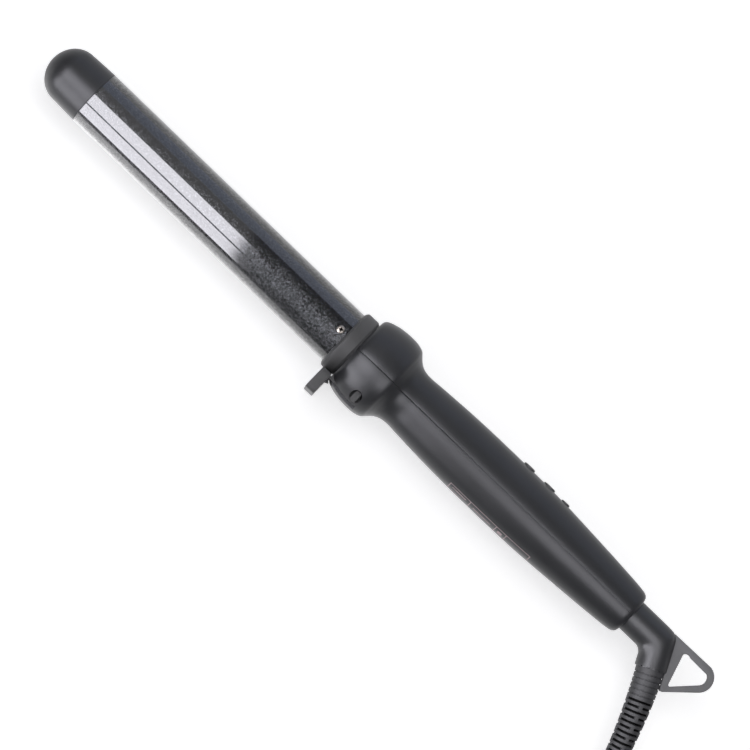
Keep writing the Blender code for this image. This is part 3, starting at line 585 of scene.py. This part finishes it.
rings, middles = sleeve_rings()
sleeve = put("ribbed_sleeve", skin(rings), rubber_finish("sleeve_rubber", 0.045, 0.075))
# Painted shade: the floors of the slots get a near-black finish for the shadow deep inside them.
sleeve.data.materials.append(rubber_finish("painted_slot_shade", 0.002, 0.004, 0.02))
SLOTS_FROM = 4 * CLOSED_RINGS + 3  # the first section whose floor may be dark
for facet in sleeve.data.polygons:
    k = facet.index // SLEEVE_SIDES
    if SLOTS_FROM <= k < len(middles) - 1:
        middle = at(*((middles[k] + middles[k + 1]) / 2))
        floor_r = SLEEVE_R - SLEEVE_TAPER * k / len(middles) - 0.9
        if (facet.center - middle).length < floor_r * MM:
            facet.material_index = 1
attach(sleeve, "swivel")
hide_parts("strain_relief")

# ---------------------------------------------------------------- swivel elbow
# The cord's elbow, moulded in satin nylon. Its spindle turns in the handle's end, and
# six small gates notch the rim where the sleeve starts.


def moulded_plastic(name, colour, roughness, grain=0.00035, depth=0.00003, mottle=0.12, gloss=0.15):
    """Spark-textured moulding: a fine grain in the surface and a faint change of tone."""
    made, tree, shader = blank_finish(name)
    fine = placed(tree, "TexNoise", Scale=1 / grain, Detail=2.0)
    broad = placed(tree, "TexNoise", Scale=60.0, Detail=5.0)
    toned(tree, broad.outputs["Fac"], [c * (1 - mottle) for c in colour], [c * (1 + mottle) for c in colour],
          shader, 0.3, 0.7)
    rough = wired(tree, "MapRange", fine.outputs["Fac"], "Value",
                  To_Min=roughness - 0.05, To_Max=roughness + 0.05)
    tree.links.new(rough.outputs["Result"], shader.inputs["Roughness"])
    bumped(tree, fine.outputs["Fac"], shader, 0.5, depth)
    shader.inputs["Specular IOR Level"].default_value = gloss
    return made


def settle(target):
    """Turns an object's modifiers into its own mesh."""
    graph = bpy.context.evaluated_depsgraph_get()
    shaped = bpy.data.meshes.new_from_object(target.evaluated_get(graph))
    target.modifiers.clear()
    target.data = shaped
    shaped.set_sharp_from_angle(angle=CREASE)


def shape_with(target, other, operation="DIFFERENCE"):
    """Cuts or joins another mesh into the target for good, and removes that mesh."""
    step = target.modifiers.new(operation.lower(), "BOOLEAN")
    step.operation = operation
    step.material_mode = "TRANSFER"
    step.object = other
    settle(target)
    bpy.data.objects.remove(other, do_unlink=True)


def round_edges(target, width):
    """Rounds the sharp edges of an object."""
    soften = target.modifiers.new("rounded_edges", "BEVEL")
    soften.width = width * MM
    soften.segments = 3
    soften.limit_method = "ANGLE"
    soften.angle_limit = math.radians(40)
    soften.miter_outer = "MITER_ARC"
    settle(target)


ELBOW_R = (8.0, 7.5)
BEND_R = 12.5
BEND_MIDDLE = Vector((ELBOW_CORNER.x - BEND_R * math.tan(ELBOW_TURN / 2), -BEND_R, 0.0))
OUTWARD = Vector((math.sin(ELBOW_TURN), math.cos(ELBOW_TURN), 0.0))


def elbow_rings():
    """Sections from the handle's end round the bend: nearly sharp outside, rounded inside."""
    spindle = (358.9, 361.5, 364, 367)
    edges = [(Vector((x, -ELBOW_R[0], 0.0)), Vector((x, ELBOW_R[0], 0.0))) for x in spindle]
    steps, sharpness = 30, 14
    for k in range(steps + 1):
        a = ELBOW_TURN * k / steps
        ray = Vector((math.sin(a), math.cos(a), 0.0))
        first = (BEND_R + ELBOW_R[0]) / math.cos(a)
        second = (BEND_R + ELBOW_R[1]) / math.cos(ELBOW_TURN - a)
        far = (first ** -sharpness + second ** -sharpness) ** (-1 / sharpness)
        near = BEND_R - ELBOW_R[0] + (ELBOW_R[0] - ELBOW_R[1]) * k / steps
        edges.append((BEND_MIDDLE + ray * near, BEND_MIDDLE + ray * far))
    for short, inset in ((3.0, 0.0), (0.5, 0.0), (0.2, 0.08), (0.05, 0.25), (0.0, 0.45)):
        end = LEG_END - LEG * short
        edges.append((end - OUTWARD * (ELBOW_R[1] - inset), end + OUTWARD * (ELBOW_R[1] - inset)))
    rings = []
    for k, (near, far) in enumerate(edges):
        middle = (near + far) / 2
        out = far - middle
        share = min(k / (len(spindle) + steps), 1.0)
        depth = min(ELBOW_R[0] + (ELBOW_R[1] - ELBOW_R[0]) * share, out.length + 0.2)
        rings.append([at(*(middle + out * c + Vector((0, 0, depth * s)))) for c, s in circle(1.0, 72)])
    return rings


elbow_nylon = moulded_plastic("elbow_nylon", (0.045, 0.046, 0.050), 0.38, 0.0005, 0.00001, 0.05, 0.22)
elbow = put("elbow_moulding", skin(elbow_rings()), elbow_nylon)
GATE_R = 0.55 * MM
for turn in (62, 100, 130, 242, 280, 310):
    a = math.radians(turn)
    spoke = OUTWARD * math.cos(a) + Vector((0, 0, math.sin(a)))
    gate = bmesh.new()
    bmesh.ops.create_cone(gate, cap_ends=True, segments=16, radius1=GATE_R, radius2=GATE_R, depth=2.4 * MM)
    radial = spoke.to_track_quat("Z", "Y").to_matrix().to_4x4()
    moved = Matrix.Translation(at(*(LEG_END + spoke * 7.2))) @ radial
    bmesh.ops.transform(gate, verts=gate.verts, matrix=moved)
    shape_with(elbow, put("gate", gate, elbow_nylon))
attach(elbow, "swivel")
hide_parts("swivel_elbow")

# ---------------------------------------------------------------- hang loop
# Flat triangular eye moulded with the elbow, with a matte face painted paler than the
# elbow's for the light on it. Its near corner comes down beside the sleeve.


def arc(middle, radius, start, end, steps):
    """Points in degrees round a middle, both ends included."""
    angles = [math.radians(start + (end - start) * k / steps) for k in range(steps + 1)]
    return [(middle[0] + radius * math.cos(a), middle[1] + radius * math.sin(a)) for a in angles]


LOOP_HALF = 1.6
loop_outside = [(382.6, 7.6)] + arc((403.7, 0.9), 7.1, 82, -47, 28)
loop_outside += [(396.3, -15.5), (394.9, -16.0), (391.5, -8.9), (390.3, -8.3), (384.0, 2.0)]
loop_inside = arc((394.0, 2.1), 2.7, 150, 62, 12) + arc((403.8, 1.0), 3.8, 60, -47, 18)
loop_inside += [(397.3, -11.3), (396.5, -11.5), (396.0, -10.8)]


def plate(outline, low, high):
    """A flat plate of an (x, y) outline, between two heights."""
    return skin([[at(x, y, z) for x, y in outline] for z in (low, high)])


# Painted light: the pale grey stands for light falling on the loop's flat face.
loop_nylon_painted_lit = moulded_plastic("loop_nylon_painted_lit", (0.24, 0.24, 0.25), 0.6, 0.0004, 0.00004, 0.1)
loop = put("hang_loop", plate(loop_outside, -LOOP_HALF, LOOP_HALF), loop_nylon_painted_lit)
shape_with(loop, put("loop_eye", plate(loop_inside, -3.0, 3.0), loop_nylon_painted_lit))
round_edges(loop, 0.35)
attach(loop, "swivel")

# ---------------------------------------------------------------- heated barrel
# Drawn aluminium tube under a hard black ceramic coat full of fine mineral flakes, with
# a clear glossy skin over them. It slips over the socket and is held by one screw.
BARREL_R, BARREL_BORE_R = 14.0, 13.0
BARREL_FROM, BARREL_TO = 26.0, 191.4


def turned(name, outline, look):
    """Turns a closed (x, radius) outline, in millimetres from the tip, about the axis."""
    rings = [[at(x, r * c, r * s) for x, r in outline] for c, s in circle(1.0, 192)]
    return put(name, skin(rings, loop=True), look)


def flake_coat():
    """Near-black glossy coat: bright flakes at random tilts under a smooth clear skin."""
    most_tilt = 0.28
    made, tree, shader = blank_finish("flake_coat")
    flakes = placed(tree, "TexVoronoi", Scale=2700.0)
    parts = wired(tree, "SeparateColor", flakes.outputs["Color"], "Color")
    toned(tree, parts.outputs["Red"], (0.002, 0.0022, 0.0026), (0.030, 0.031, 0.034), shader, 0.55, 1.0)
    tilt = wired(tree, "VectorMath", flakes.outputs["Color"])
    tilt.operation = "MULTIPLY_ADD"
    tilt.inputs[1].default_value = (2 * most_tilt,) * 3
    tilt.inputs[2].default_value = (-most_tilt,) * 3
    facing = wired(tree, "NewGeometry")
    tipped = wired(tree, "VectorMath", facing.outputs["Normal"])
    tree.links.new(tilt.outputs["Vector"], tipped.inputs[1])
    unit = wired(tree, "VectorMath", tipped.outputs["Vector"])
    unit.operation = "NORMALIZE"
    tree.links.new(unit.outputs["Vector"], shader.inputs["Normal"])
    shader.inputs["Metallic"].default_value = 0.85
    shader.inputs["Roughness"].default_value = 0.22
    shader.inputs["Coat Weight"].default_value = 1.0
    shader.inputs["Coat Roughness"].default_value = 0.07
    shader.inputs["Coat IOR"].default_value = 1.5
    return made


barrel = turned(
    "barrel_coated_tube",
    soft_corners([(BARREL_FROM, BARREL_R, 0.12), (BARREL_TO, BARREL_R, 0.3),
                  (BARREL_TO, BARREL_BORE_R, 0.0), (BARREL_FROM, BARREL_BORE_R, 0.0)]),
    flake_coat(),
)
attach(barrel, "handle")
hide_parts("barrel_tube")

# ---------------------------------------------------------------- cool tip
# Domed cap of glass-filled plastic, a press fit in the barrel's end. It stays cool
# enough to hold, and its skirt meets the coat with a hairline gap.


def dome(start, long, radius, steps):
    """A rounded end as (x, radius) points, from the axis out."""
    points = []
    for k in range(steps + 1):
        a = math.pi / 2 * k / steps
        points.append((start + long * (1 - math.cos(a)), max(radius * math.sin(a), 0.02)))
    return points


tip_plastic = moulded_plastic("tip_plastic", (0.049, 0.050, 0.055), 0.36, 0.0003, 0.00004, 0.08)
tip_outline = dome(0.0, 12.2, 13.4, 40) + [(18.0, 13.63)]
tip_outline += soft_corners([(25.0, 13.84, 0.0), (25.9, 13.85, 0.12), (25.9, 12.7, 0.0), (36.0, 12.7, 0.6),
                             (36.0, 10.9, 0.0)], closed=False)
tip_outline += list(reversed(dome(3.0, 9.0, 10.9, 16)))
tip = turned("cool_tip_cap", tip_outline, tip_plastic)
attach(tip, "handle")
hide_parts("cool_tip")

# ---------------------------------------------------------------- barrel screw
# Nickel-plated pan-head screw with a dark cross recess. It goes through the barrel into
# the heat-proof socket, a little to the buttons' side of the top.
SCREW_X = 178.8
SCREW_LEAN = math.asin(1.1 / BARREL_R)


def on_barrel_top(bm):
    """Moves millimetre work from the axis to the screw's place, leaning towards the buttons."""
    bmesh.ops.scale(bm, verts=bm.verts, vec=(MM, MM, MM))
    bmesh.ops.rotate(bm, verts=bm.verts, cent=(0, 0, 0), matrix=Matrix.Rotation(-SCREW_LEAN, 3, "X"))
    bmesh.ops.translate(bm, verts=bm.verts, vec=at(SCREW_X))
    return bm


def upright(outline):
    """Rings of a (radius, height) outline about z."""
    return [[(u, v, z) for u, v in circle(r, 48)] for r, z in outline]


nickel = brushed_metal("screw_nickel", (0.20, 0.18, 0.16), 0.3)
recess_shade = moulded_plastic("recess_shade", (0.006, 0.005, 0.005), 0.8, gloss=0.02)
HEAD_TOP = 15.1
head = [(0.95, 9.8), (0.95, 14.15)]
head += soft_corners([(1.88, 14.15, 0.0), (1.88, 14.75, 0.35), (1.3, 15.12, 0.4), (0.05, 15.14, 0.0)],
                     closed=False)
screw = put("barrel_screw_plated", on_barrel_top(skin(upright(head))), nickel)
for turn in (20, 110):
    slot = bmesh.new()
    bmesh.ops.create_cube(slot, size=1.0)
    bmesh.ops.scale(slot, verts=slot.verts, vec=(2.5, 0.75, 1.8))
    for vert in slot.verts:
        if vert.co.z < 0:
            vert.co.x *= 0.45
    turned_by = Matrix.Rotation(math.radians(turn), 3, "Z")
    bmesh.ops.rotate(slot, verts=slot.verts, cent=(0, 0, 0), matrix=turned_by)
    bmesh.ops.translate(slot, verts=slot.verts, vec=(0, 0, HEAD_TOP))
    shape_with(screw, put("cross", on_barrel_top(slot), recess_shade))
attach(screw, "handle")
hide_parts("barrel_screw")

# ---------------------------------------------------------------- guard ring
# Fixed collar round the hot end, moulded in a paler, rougher plastic than the handle.
# It keeps fingers off the barrel. Both of its edges are chamfered, and a low lip at its
# back reaches the bulb.
guard_plastic = moulded_plastic("guard_plastic", (0.125, 0.125, 0.128), 0.5, 0.00045, 0.00006, 0.1, 0.08)
ring = turned(
    "heat_guard_collar",
    soft_corners([(182.0, 14.35, 0.0), (182.0, 14.5, 0.1), (183.0, 15.75, 0.3), (184.4, 15.9, 0.3),
                  (188.9, 15.9, 0.5), (189.6, 15.3, 0.2), (189.98, 15.2, 0.1), (189.98, 14.35, 0.0)]),
    guard_plastic,
)
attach(ring, "handle")
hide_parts("heat_guard_ring")

# ---------------------------------------------------------------- handle shells
# Two half shells of soft-touch plastic, screwed together, which clamp the socket and the
# swivel. The parting line shows on the bulb and closes up towards the cord.
HANDLE_OUTSIDE = (
    (190.1, 16.9), (190.5, 18.0), (191.6, 19.1), (195.5, 20.55), (200.0, 21.35), (205.0, 21.6),
    (208.7, 21.3), (212.0, 20.2), (213.6, 18.6), (215.9, 16.4), (218.4, 15.0), (222.2, 14.3),
    (230.3, 14.7), (246.0, 15.5), (262.8, 15.95), (276.0, 16.0), (291.7, 15.9), (308.0, 15.4),
    (327.9, 14.2), (344.0, 13.1), (357.0, 11.95), (360.3, 11.3), (361.7, 10.3), (362.2, 9.0),
)
HANDLE_INSIDE = (
    (362.2, 8.4), (358.5, 8.4), (358.5, 6.0), (353.0, 6.0), (353.0, 9.4), (349.5, 10.4), (338.0, 11.5),
    (318.0, 12.8), (300.0, 13.6), (280.0, 14.0), (262.0, 13.9), (246.0, 13.5), (230.0, 12.7),
    (219.0, 12.3), (213.0, 15.4), (192.1, 15.4), (192.1, 14.4), (190.1, 14.4),
)


def flowing(points):
    """A smooth line through (x, radius) points."""
    steps = 7
    points = [Vector(point) for point in points]
    ends = [points[0] * 2 - points[1]] + points + [points[-1] * 2 - points[-2]]
    fine = []
    for a, b, c, d in zip(ends, ends[1:], ends[2:], ends[3:]):
        spread = [max((q - p).length, 1e-6) ** 0.5 for p, q in ((a, b), (b, c), (c, d))]
        one = (b - a) / spread[0] - (c - a) / (spread[0] + spread[1]) + (c - b) / spread[1]
        two = (c - b) / spread[1] - (d - b) / (spread[1] + spread[2]) + (d - c) / spread[2]
        one, two = one * spread[1], two * spread[1]
        for k in range(steps):
            t = k / steps
            fine.append(b * (2 * t ** 3 - 3 * t * t + 1) + one * (t ** 3 - 2 * t * t + t)
                        + c * (3 * t * t - 2 * t ** 3) + two * (t ** 3 - t * t))
    return [(p.x, p.y) for p in fine] + [tuple(points[-1])]


outside_line = flowing(HANDLE_OUTSIDE)


def outside_radius(x):
    """The handle's outer radius at a station."""
    for (x0, r0), (x1, r1) in zip(outside_line, outside_line[1:]):
        if x0 <= x <= x1:
            return r0 + (r1 - r0) * (x - x0) / max(x1 - x0, 1e-6)
    return outside_line[-1][1]


def seam_gap(x):
    """The parting line's half width: open on the bulb, nearly closed towards the cord."""
    return 0.07 - 0.06 * ease((x - 225.0) / 50.0)


def seam_edge(x):
    """How far the shells' edges are rounded at the parting line."""
    return 0.2 - 0.17 * ease((x - 225.0) / 50.0)


def half_shell(name, side, look):
    """One shell, from its upper edge round to its lower one."""
    near = (0.0, 0.06, 0.18, 0.4, 0.7, 1.0)
    stations = [("edge", share, 1) for share in near]
    stations += [("turn", angle, 1) for angle in range(6, 177, 3)]
    stations += [("edge", share, -1) for share in reversed(near)]
    sections = []
    for kind, value, up in stations:
        section = []
        for k, (x, r) in enumerate(outside_line + list(HANDLE_INSIDE)):
            gap, edge = seam_gap(x), seam_edge(x)
            if kind == "turn":
                out, high = r * math.sin(math.radians(value)), r * math.cos(math.radians(value))
            else:
                out = edge * value
                own = r
                if k < len(outside_line):
                    own = r - edge * (1 - math.sqrt(max(0.0, 1 - (1 - value) ** 2)))
                high = up * math.sqrt(max(own * own - out * out, 0.0))
            section.append(at(x, side * (out + gap), high))
        sections.append(section)
    return put(name, skin(sections), look)


PIVOT = (204.3, -15.9)
STUB_R = 2.65
ARM_Z = (6.6, 9.4)
BUTTONS = (("power", 283.2, 6.2, 0.8), ("minus", 295.9, 6.5, 0.7), ("plus", 306.2, 4.6, 0.7))
INDICATOR_X = 271.0


def pin_cutter(x, low, high, radius, flare, axis):
    """A round cutter with a flared mouth, which leaves a soft edge; axis is Y or Z."""
    steps = [(low, radius), (high, radius)]
    if flare:
        steps[1:] = [(high - flare, radius), (high, radius + flare), (high + 4, radius + flare + 4)]
    rings = []
    for height, size in steps:
        spots = circle(size, 48)
        if axis == "Y":
            rings.append([at(x + u, height, v) for u, v in spots])
        else:
            rings.append([at(x + u, PIVOT[1] + v, height) for u, v in spots])
    return skin(rings)


soft_touch = moulded_plastic("soft_touch_plastic", (0.047, 0.048, 0.053), 0.34, 0.0003, 0.00003, 0.06)
upper = half_shell("handle_upper_half", 1, soft_touch)
for _, x, wide, _ in BUTTONS:
    mouth = outside_radius(x) + seam_gap(x) - 0.05
    shape_with(upper, put("way", pin_cutter(x, 9.0, mouth, wide / 2 + 0.25, 0.2, "Y"), soft_touch))
mouth = outside_radius(INDICATOR_X) - 0.05
shape_with(upper, put("way", pin_cutter(INDICATOR_X, 9.0, mouth, 1.75, 0.15, "Y"), soft_touch))

lower = half_shell("handle_lower_half", -1, soft_touch)
mirror = Matrix.Translation((0, 0, 2 * tip_point.z)) @ Matrix.Scale(-1, 4, (0, 0, 1))
for up in (1, -1):
    cutter = pin_cutter(PIVOT[0], 4.0, 26.0, STUB_R + 0.2, 0.0, "Z")
    if up < 0:
        bmesh.ops.transform(cutter, verts=cutter.verts, matrix=mirror)
    shape_with(lower, put("stub_way", cutter, soft_touch))
    low, high = sorted((up * (ARM_Z[0] - 0.3), up * (ARM_Z[1] + 0.3)))
    slot_end, slot_top = PIVOT[0] + STUB_R + 0.3, PIVOT[1] + STUB_R + 0.3
    slot = plate([(188, -26), (slot_end, -26), (slot_end, slot_top), (188, slot_top)], low, high)
    shape_with(lower, put("arm_slot", slot, soft_touch))
for x in (238.0, 327.0):
    recess = skin([[at(x + u, y, v) for u, v in circle(2.6, 40)] for y in (-20.0, -8.3)])
    shape_with(lower, put("screw_recess", recess, soft_touch))
for shell, node in ((upper, "handle_shell_upper"), (lower, "handle_shell_lower")):
    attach(shell, "handle")
    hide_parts(node)

# ---------------------------------------------------------------- push buttons
# Three caps in the buttons' side. Each has a soft edge, a shallow finger dish and a
# raised mark: a ring, a minus or a plus.


def button_cap(x, wide, proud):
    """Rings of a cap about the y axis, with its dish."""
    top, radius = outside_radius(x) + proud, wide / 2
    outline = [(0.05, 12.1), (radius + 0.7, 12.1), (radius + 0.7, 12.8), (radius, 12.8)]
    outline += soft_corners([(radius, top - 1.2, 0.0), (radius, top, 0.35), (radius * 0.6, top, 0.6),
                             (0.05, top - 0.18, 0.0)], closed=False, steps=6)
    return [[at(x + u, y, v) for u, v in circle(r, 64)] for r, y in outline]


def raised_bar(x, y, long, wide, turned_by):
    """A small rounded bar that stands up on a cap."""
    outline = soft_corners([(-long, -wide, wide), (long, -wide, wide), (long, wide, wide),
                            (-long, wide, wide)])
    c, s = math.cos(turned_by), math.sin(turned_by)
    return [[at(x + u * c - v * s, y + rise, u * s + v * c) for u, v in outline] for rise in (-0.25, 0.08)]


# Painted reflection: the caps' pale grey stands for the white table that their faces reflect.
button_plastic_painted_reflection = moulded_plastic("button_plastic_painted_reflection", (0.13, 0.13, 0.135), 0.45, 0.0004, 0.00002, 0.05)
for word, x, wide, proud in BUTTONS:
    cap = put("button_cap_" + word, skin(button_cap(x, wide, proud)), button_plastic_painted_reflection)
    face = outside_radius(x) + proud - 0.12
    if word == "power":
        section = ((1.1, face - 0.2), (1.1, face + 0.08), (1.45, face + 0.08), (1.45, face - 0.2))
        mark = skin([[at(x + r * c, y, r * s) for r, y in section] for c, s in circle(1.0, 40)], loop=True)
        shape_with(cap, put("mark", mark, button_plastic_painted_reflection), "UNION")
    else:
        for turn in ([0.0] if word == "minus" else [0.0, math.pi / 2]):
            mark = skin(raised_bar(x, face, 1.15, 0.2, turn))
            shape_with(cap, put("mark", mark, button_plastic_painted_reflection), "UNION")
    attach(cap, word + "_key")
    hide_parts("button_" + word)

# ---------------------------------------------------------------- folding rest stand
# Foot plate, two arms and two pivot stubs in one moulding, with a low rib behind the
# plate. The stubs snap into the bulb's sides and show there as a bar between two flats.
STAND_BACK = 189.7
FOOT_LOW, FOOT_HIGH, FOOT_HALF = -28.3, -16.3, 21.3
HALF_ARM, HALF_RIB, HALF_BAR = 2.1, 3.5, 1.4


def facing_block(outline, low, high):
    """A block of a (y, z) outline between two stations along the axis."""
    return skin([[at(x, y, z) for y, z in outline] for x in (low, high)])


foot = soft_corners([(FOOT_LOW, -FOOT_HALF, 2.6), (FOOT_HIGH, -FOOT_HALF, 2.6), (FOOT_HIGH, FOOT_HALF, 2.6),
                     (FOOT_LOW, FOOT_HALF, 2.6)], steps=8)
stand = put("rest_foot_plate", facing_block(foot, STAND_BACK - 5.0, STAND_BACK), guard_plastic)
round_edges(stand, 0.25)
for up in (1, -1):
    outline = [(STAND_BACK - 2, PIVOT[1] - HALF_ARM - 0.6), (STAND_BACK + 1, PIVOT[1] - HALF_ARM)]
    outline += arc(PIVOT, STUB_R, -52, 52, 16)
    outline += [(STAND_BACK + 1.4, PIVOT[1] + HALF_ARM), (STAND_BACK + 0.35, PIVOT[1] + HALF_ARM - 0.6),
                (STAND_BACK + 0.35, -16.7), (STAND_BACK - 2, -17.3)]
    low, high = sorted((up * ARM_Z[0], up * ARM_Z[1]))
    shape_with(stand, put("arm", plate(outline, low, high), guard_plastic), "UNION")
    reach = math.degrees(math.acos(HALF_BAR / STUB_R))
    bar = arc(PIVOT, STUB_R, reach, 180 - reach, 8) + arc(PIVOT, STUB_R, 180 + reach, 360 - reach, 8)
    low, high = sorted((up * (ARM_Z[1] - 1), up * 14.3))
    shape_with(stand, put("stub", plate(bar, low, high), guard_plastic), "UNION")
stop_rib = plate([(STAND_BACK - 2, -20.4), (190.0, -20.4), (191.4, -19.7), (190.6, -18.9), (189.95, -17.9),
                  (STAND_BACK - 2, -17.5)], -HALF_RIB, HALF_RIB)
shape_with(stand, put("stop_rib", stop_rib, guard_plastic), "UNION")
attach(stand, "stand")
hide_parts("rest_stand")

# ---------------------------------------------------------------- rating panel
# A pad-printed panel low on the handle's plain side. Only its frame and a few plain
# bars are kept, as thin raised ink.


def ink_finish():
    """Dull rose-grey ink, thin enough for its tone to be uneven."""
    made, tree, shader = blank_finish("rating_ink")
    patch = placed(tree, "TexNoise", Scale=700.0)
    toned(tree, patch.outputs["Fac"], (0.22, 0.15, 0.16), (0.60, 0.44, 0.46), shader)
    shader.inputs["Roughness"].default_value = 0.6
    return made


def ink_bar(bm, x0, x1, turn0, turn1):
    """Adds a thin curved bar of ink; turns are in degrees from straight down the plain side."""
    along, round_it = max(2, round((x1 - x0) / 2)), max(2, round(abs(turn1 - turn0) / 2))
    rows = []
    for i in range(along + 1):
        x = x0 + (x1 - x0) * i / along
        row = []
        for j in range(round_it + 1):
            a = math.radians(turn0 + (turn1 - turn0) * j / round_it)
            pair = []
            for lift in (-0.02, 0.03):
                r = outside_radius(x) + lift
                pair.append(bm.verts.new(at(x, -r * math.cos(a) - seam_gap(x), r * math.sin(a))))
            row.append(pair)
        rows.append(row)
    for level in (0, 1):
        for one, two in zip(rows, rows[1:]):
            for j in range(round_it):
                bm.faces.new((one[j][level], one[j + 1][level], two[j + 1][level], two[j][level]))
    rim = [row[0] for row in rows] + rows[-1][1:] + [row[-1] for row in reversed(rows[:-1])]
    rim += list(reversed(rows[0][1:-1]))
    for k in range(len(rim)):
        one, two = rim[k], rim[(k + 1) % len(rim)]
        bm.faces.new((one[0], one[1], two[1], two[0]))


PANEL_FROM, PANEL_TO, PANEL_TURN = 262.0, 311.0, 31.0
PANEL_R = 15.9  # the handle's radius there
LINE = 0.4
LINE_TURN = math.degrees(LINE / PANEL_R)
ink = bmesh.new()
for edge in (-PANEL_TURN, PANEL_TURN - LINE_TURN):
    ink_bar(ink, PANEL_FROM + LINE, PANEL_TO - LINE, edge, edge + LINE_TURN)
for x in (PANEL_FROM, 274.5, 290.5, 296.5, PANEL_TO - LINE):
    ink_bar(ink, x, x + LINE, -PANEL_TURN, PANEL_TURN)
for x0, ends, first, pitch in ((264.0, (272.5, 270.0, 272.0, 268.5), 22.0, 14),
                               (277.0, (288.0, 284.5, 287.0), 18.0, 18)):
    for row, x1 in enumerate(ends):
        ink_bar(ink, x0, x1, first - pitch * row, first + 2.5 - pitch * row)
ink_bar(ink, 292.3, 294.9, 14.0, 23.0)
ink_bar(ink, 299.0, 308.0, -2.0, 0.8)
panel_print = put("rating_panel_print", ink, ink_finish())
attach(panel_print, "handle")

# ---------------------------------------------------------------- pieces inside
# The heater, wiring, board and contacts keep their CAD shapes. Each gets the finish that
# the real material has: anodised metal, fired ceramic, silicone, resin board, copper.


def silicone_wire(name, colour):
    """Silicone insulation: even colour, slightly chalky, with a faint bloom."""
    return moulded_plastic(name, colour, 0.45, 0.0006, 0.00001, 0.08)


def board_finish():
    """Green solder mask over copper tracks that run along and across the board."""
    made, tree, shader = blank_finish("board_finish")
    turn = placed(tree, "Mapping", Rotation=(math.pi / 2, 0.0, 0.0))
    tracks = wired(tree, "TexBrick", turn.outputs["Vector"], "Vector", Scale=220.0, Mortar_Size=0.03,
                   Color1=(0.012, 0.10, 0.035, 1.0), Color2=(0.018, 0.13, 0.045, 1.0),
                   Mortar=(0.10, 0.24, 0.09, 1.0))
    tree.links.new(tracks.outputs["Color"], shader.inputs["Base Color"])
    shader.inputs["Roughness"].default_value = 0.3
    return made


red_wire = silicone_wire("red_silicone", (0.50, 0.035, 0.03))
white_wire = silicone_wire("white_silicone", (0.72, 0.72, 0.70))
fired = moulded_plastic("fired_ceramic", (0.80, 0.77, 0.71), 0.65, 0.0003, 0.00005, 0.04)
resin = moulded_plastic("phenolic_resin", (0.17, 0.09, 0.05), 0.5, 0.0008, 0.00005, 0.2)
anodised = brushed_metal("extruded_aluminium", (0.70, 0.71, 0.72), 0.4)
copper = brushed_metal("contact_copper", (0.78, 0.42, 0.27), 0.3)
lens_tint = moulded_plastic("lens_tint", (0.45, 0.03, 0.02), 0.12, 0.002, 0.000005, 0.03)
INSIDE = {
    "barrel_socket": resin, "brush_holder": resin,
    "heater_shoe_upper": anodised, "heater_shoe_lower": anodised,
    "ceramic_heater": fired, "thermistor": fired, "indicator_led": fired,
    "control_board": board_finish(),
    "slip_ring_line": copper, "slip_ring_neutral": copper, "brush_line": copper, "brush_neutral": copper,
    "heater_lead_line": red_wire, "fuse_lead": red_wire,
    "supply_lead_line": red_wire, "cord_core_line": red_wire,
    "heater_lead_neutral": white_wire, "thermistor_lead": white_wire,
    "supply_lead_neutral": white_wire, "cord_core_neutral": white_wire,
    "thermal_fuse": blade_brass,
    "shell_screw_front": nickel, "shell_screw_rear": nickel,
    "switch_power": nickel, "switch_minus": nickel, "switch_plus": nickel,
    "indicator_lens": lens_tint,
}
for node, look in INSIDE.items():
    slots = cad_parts[node].data.materials
    slots.clear()
    slots.append(look)
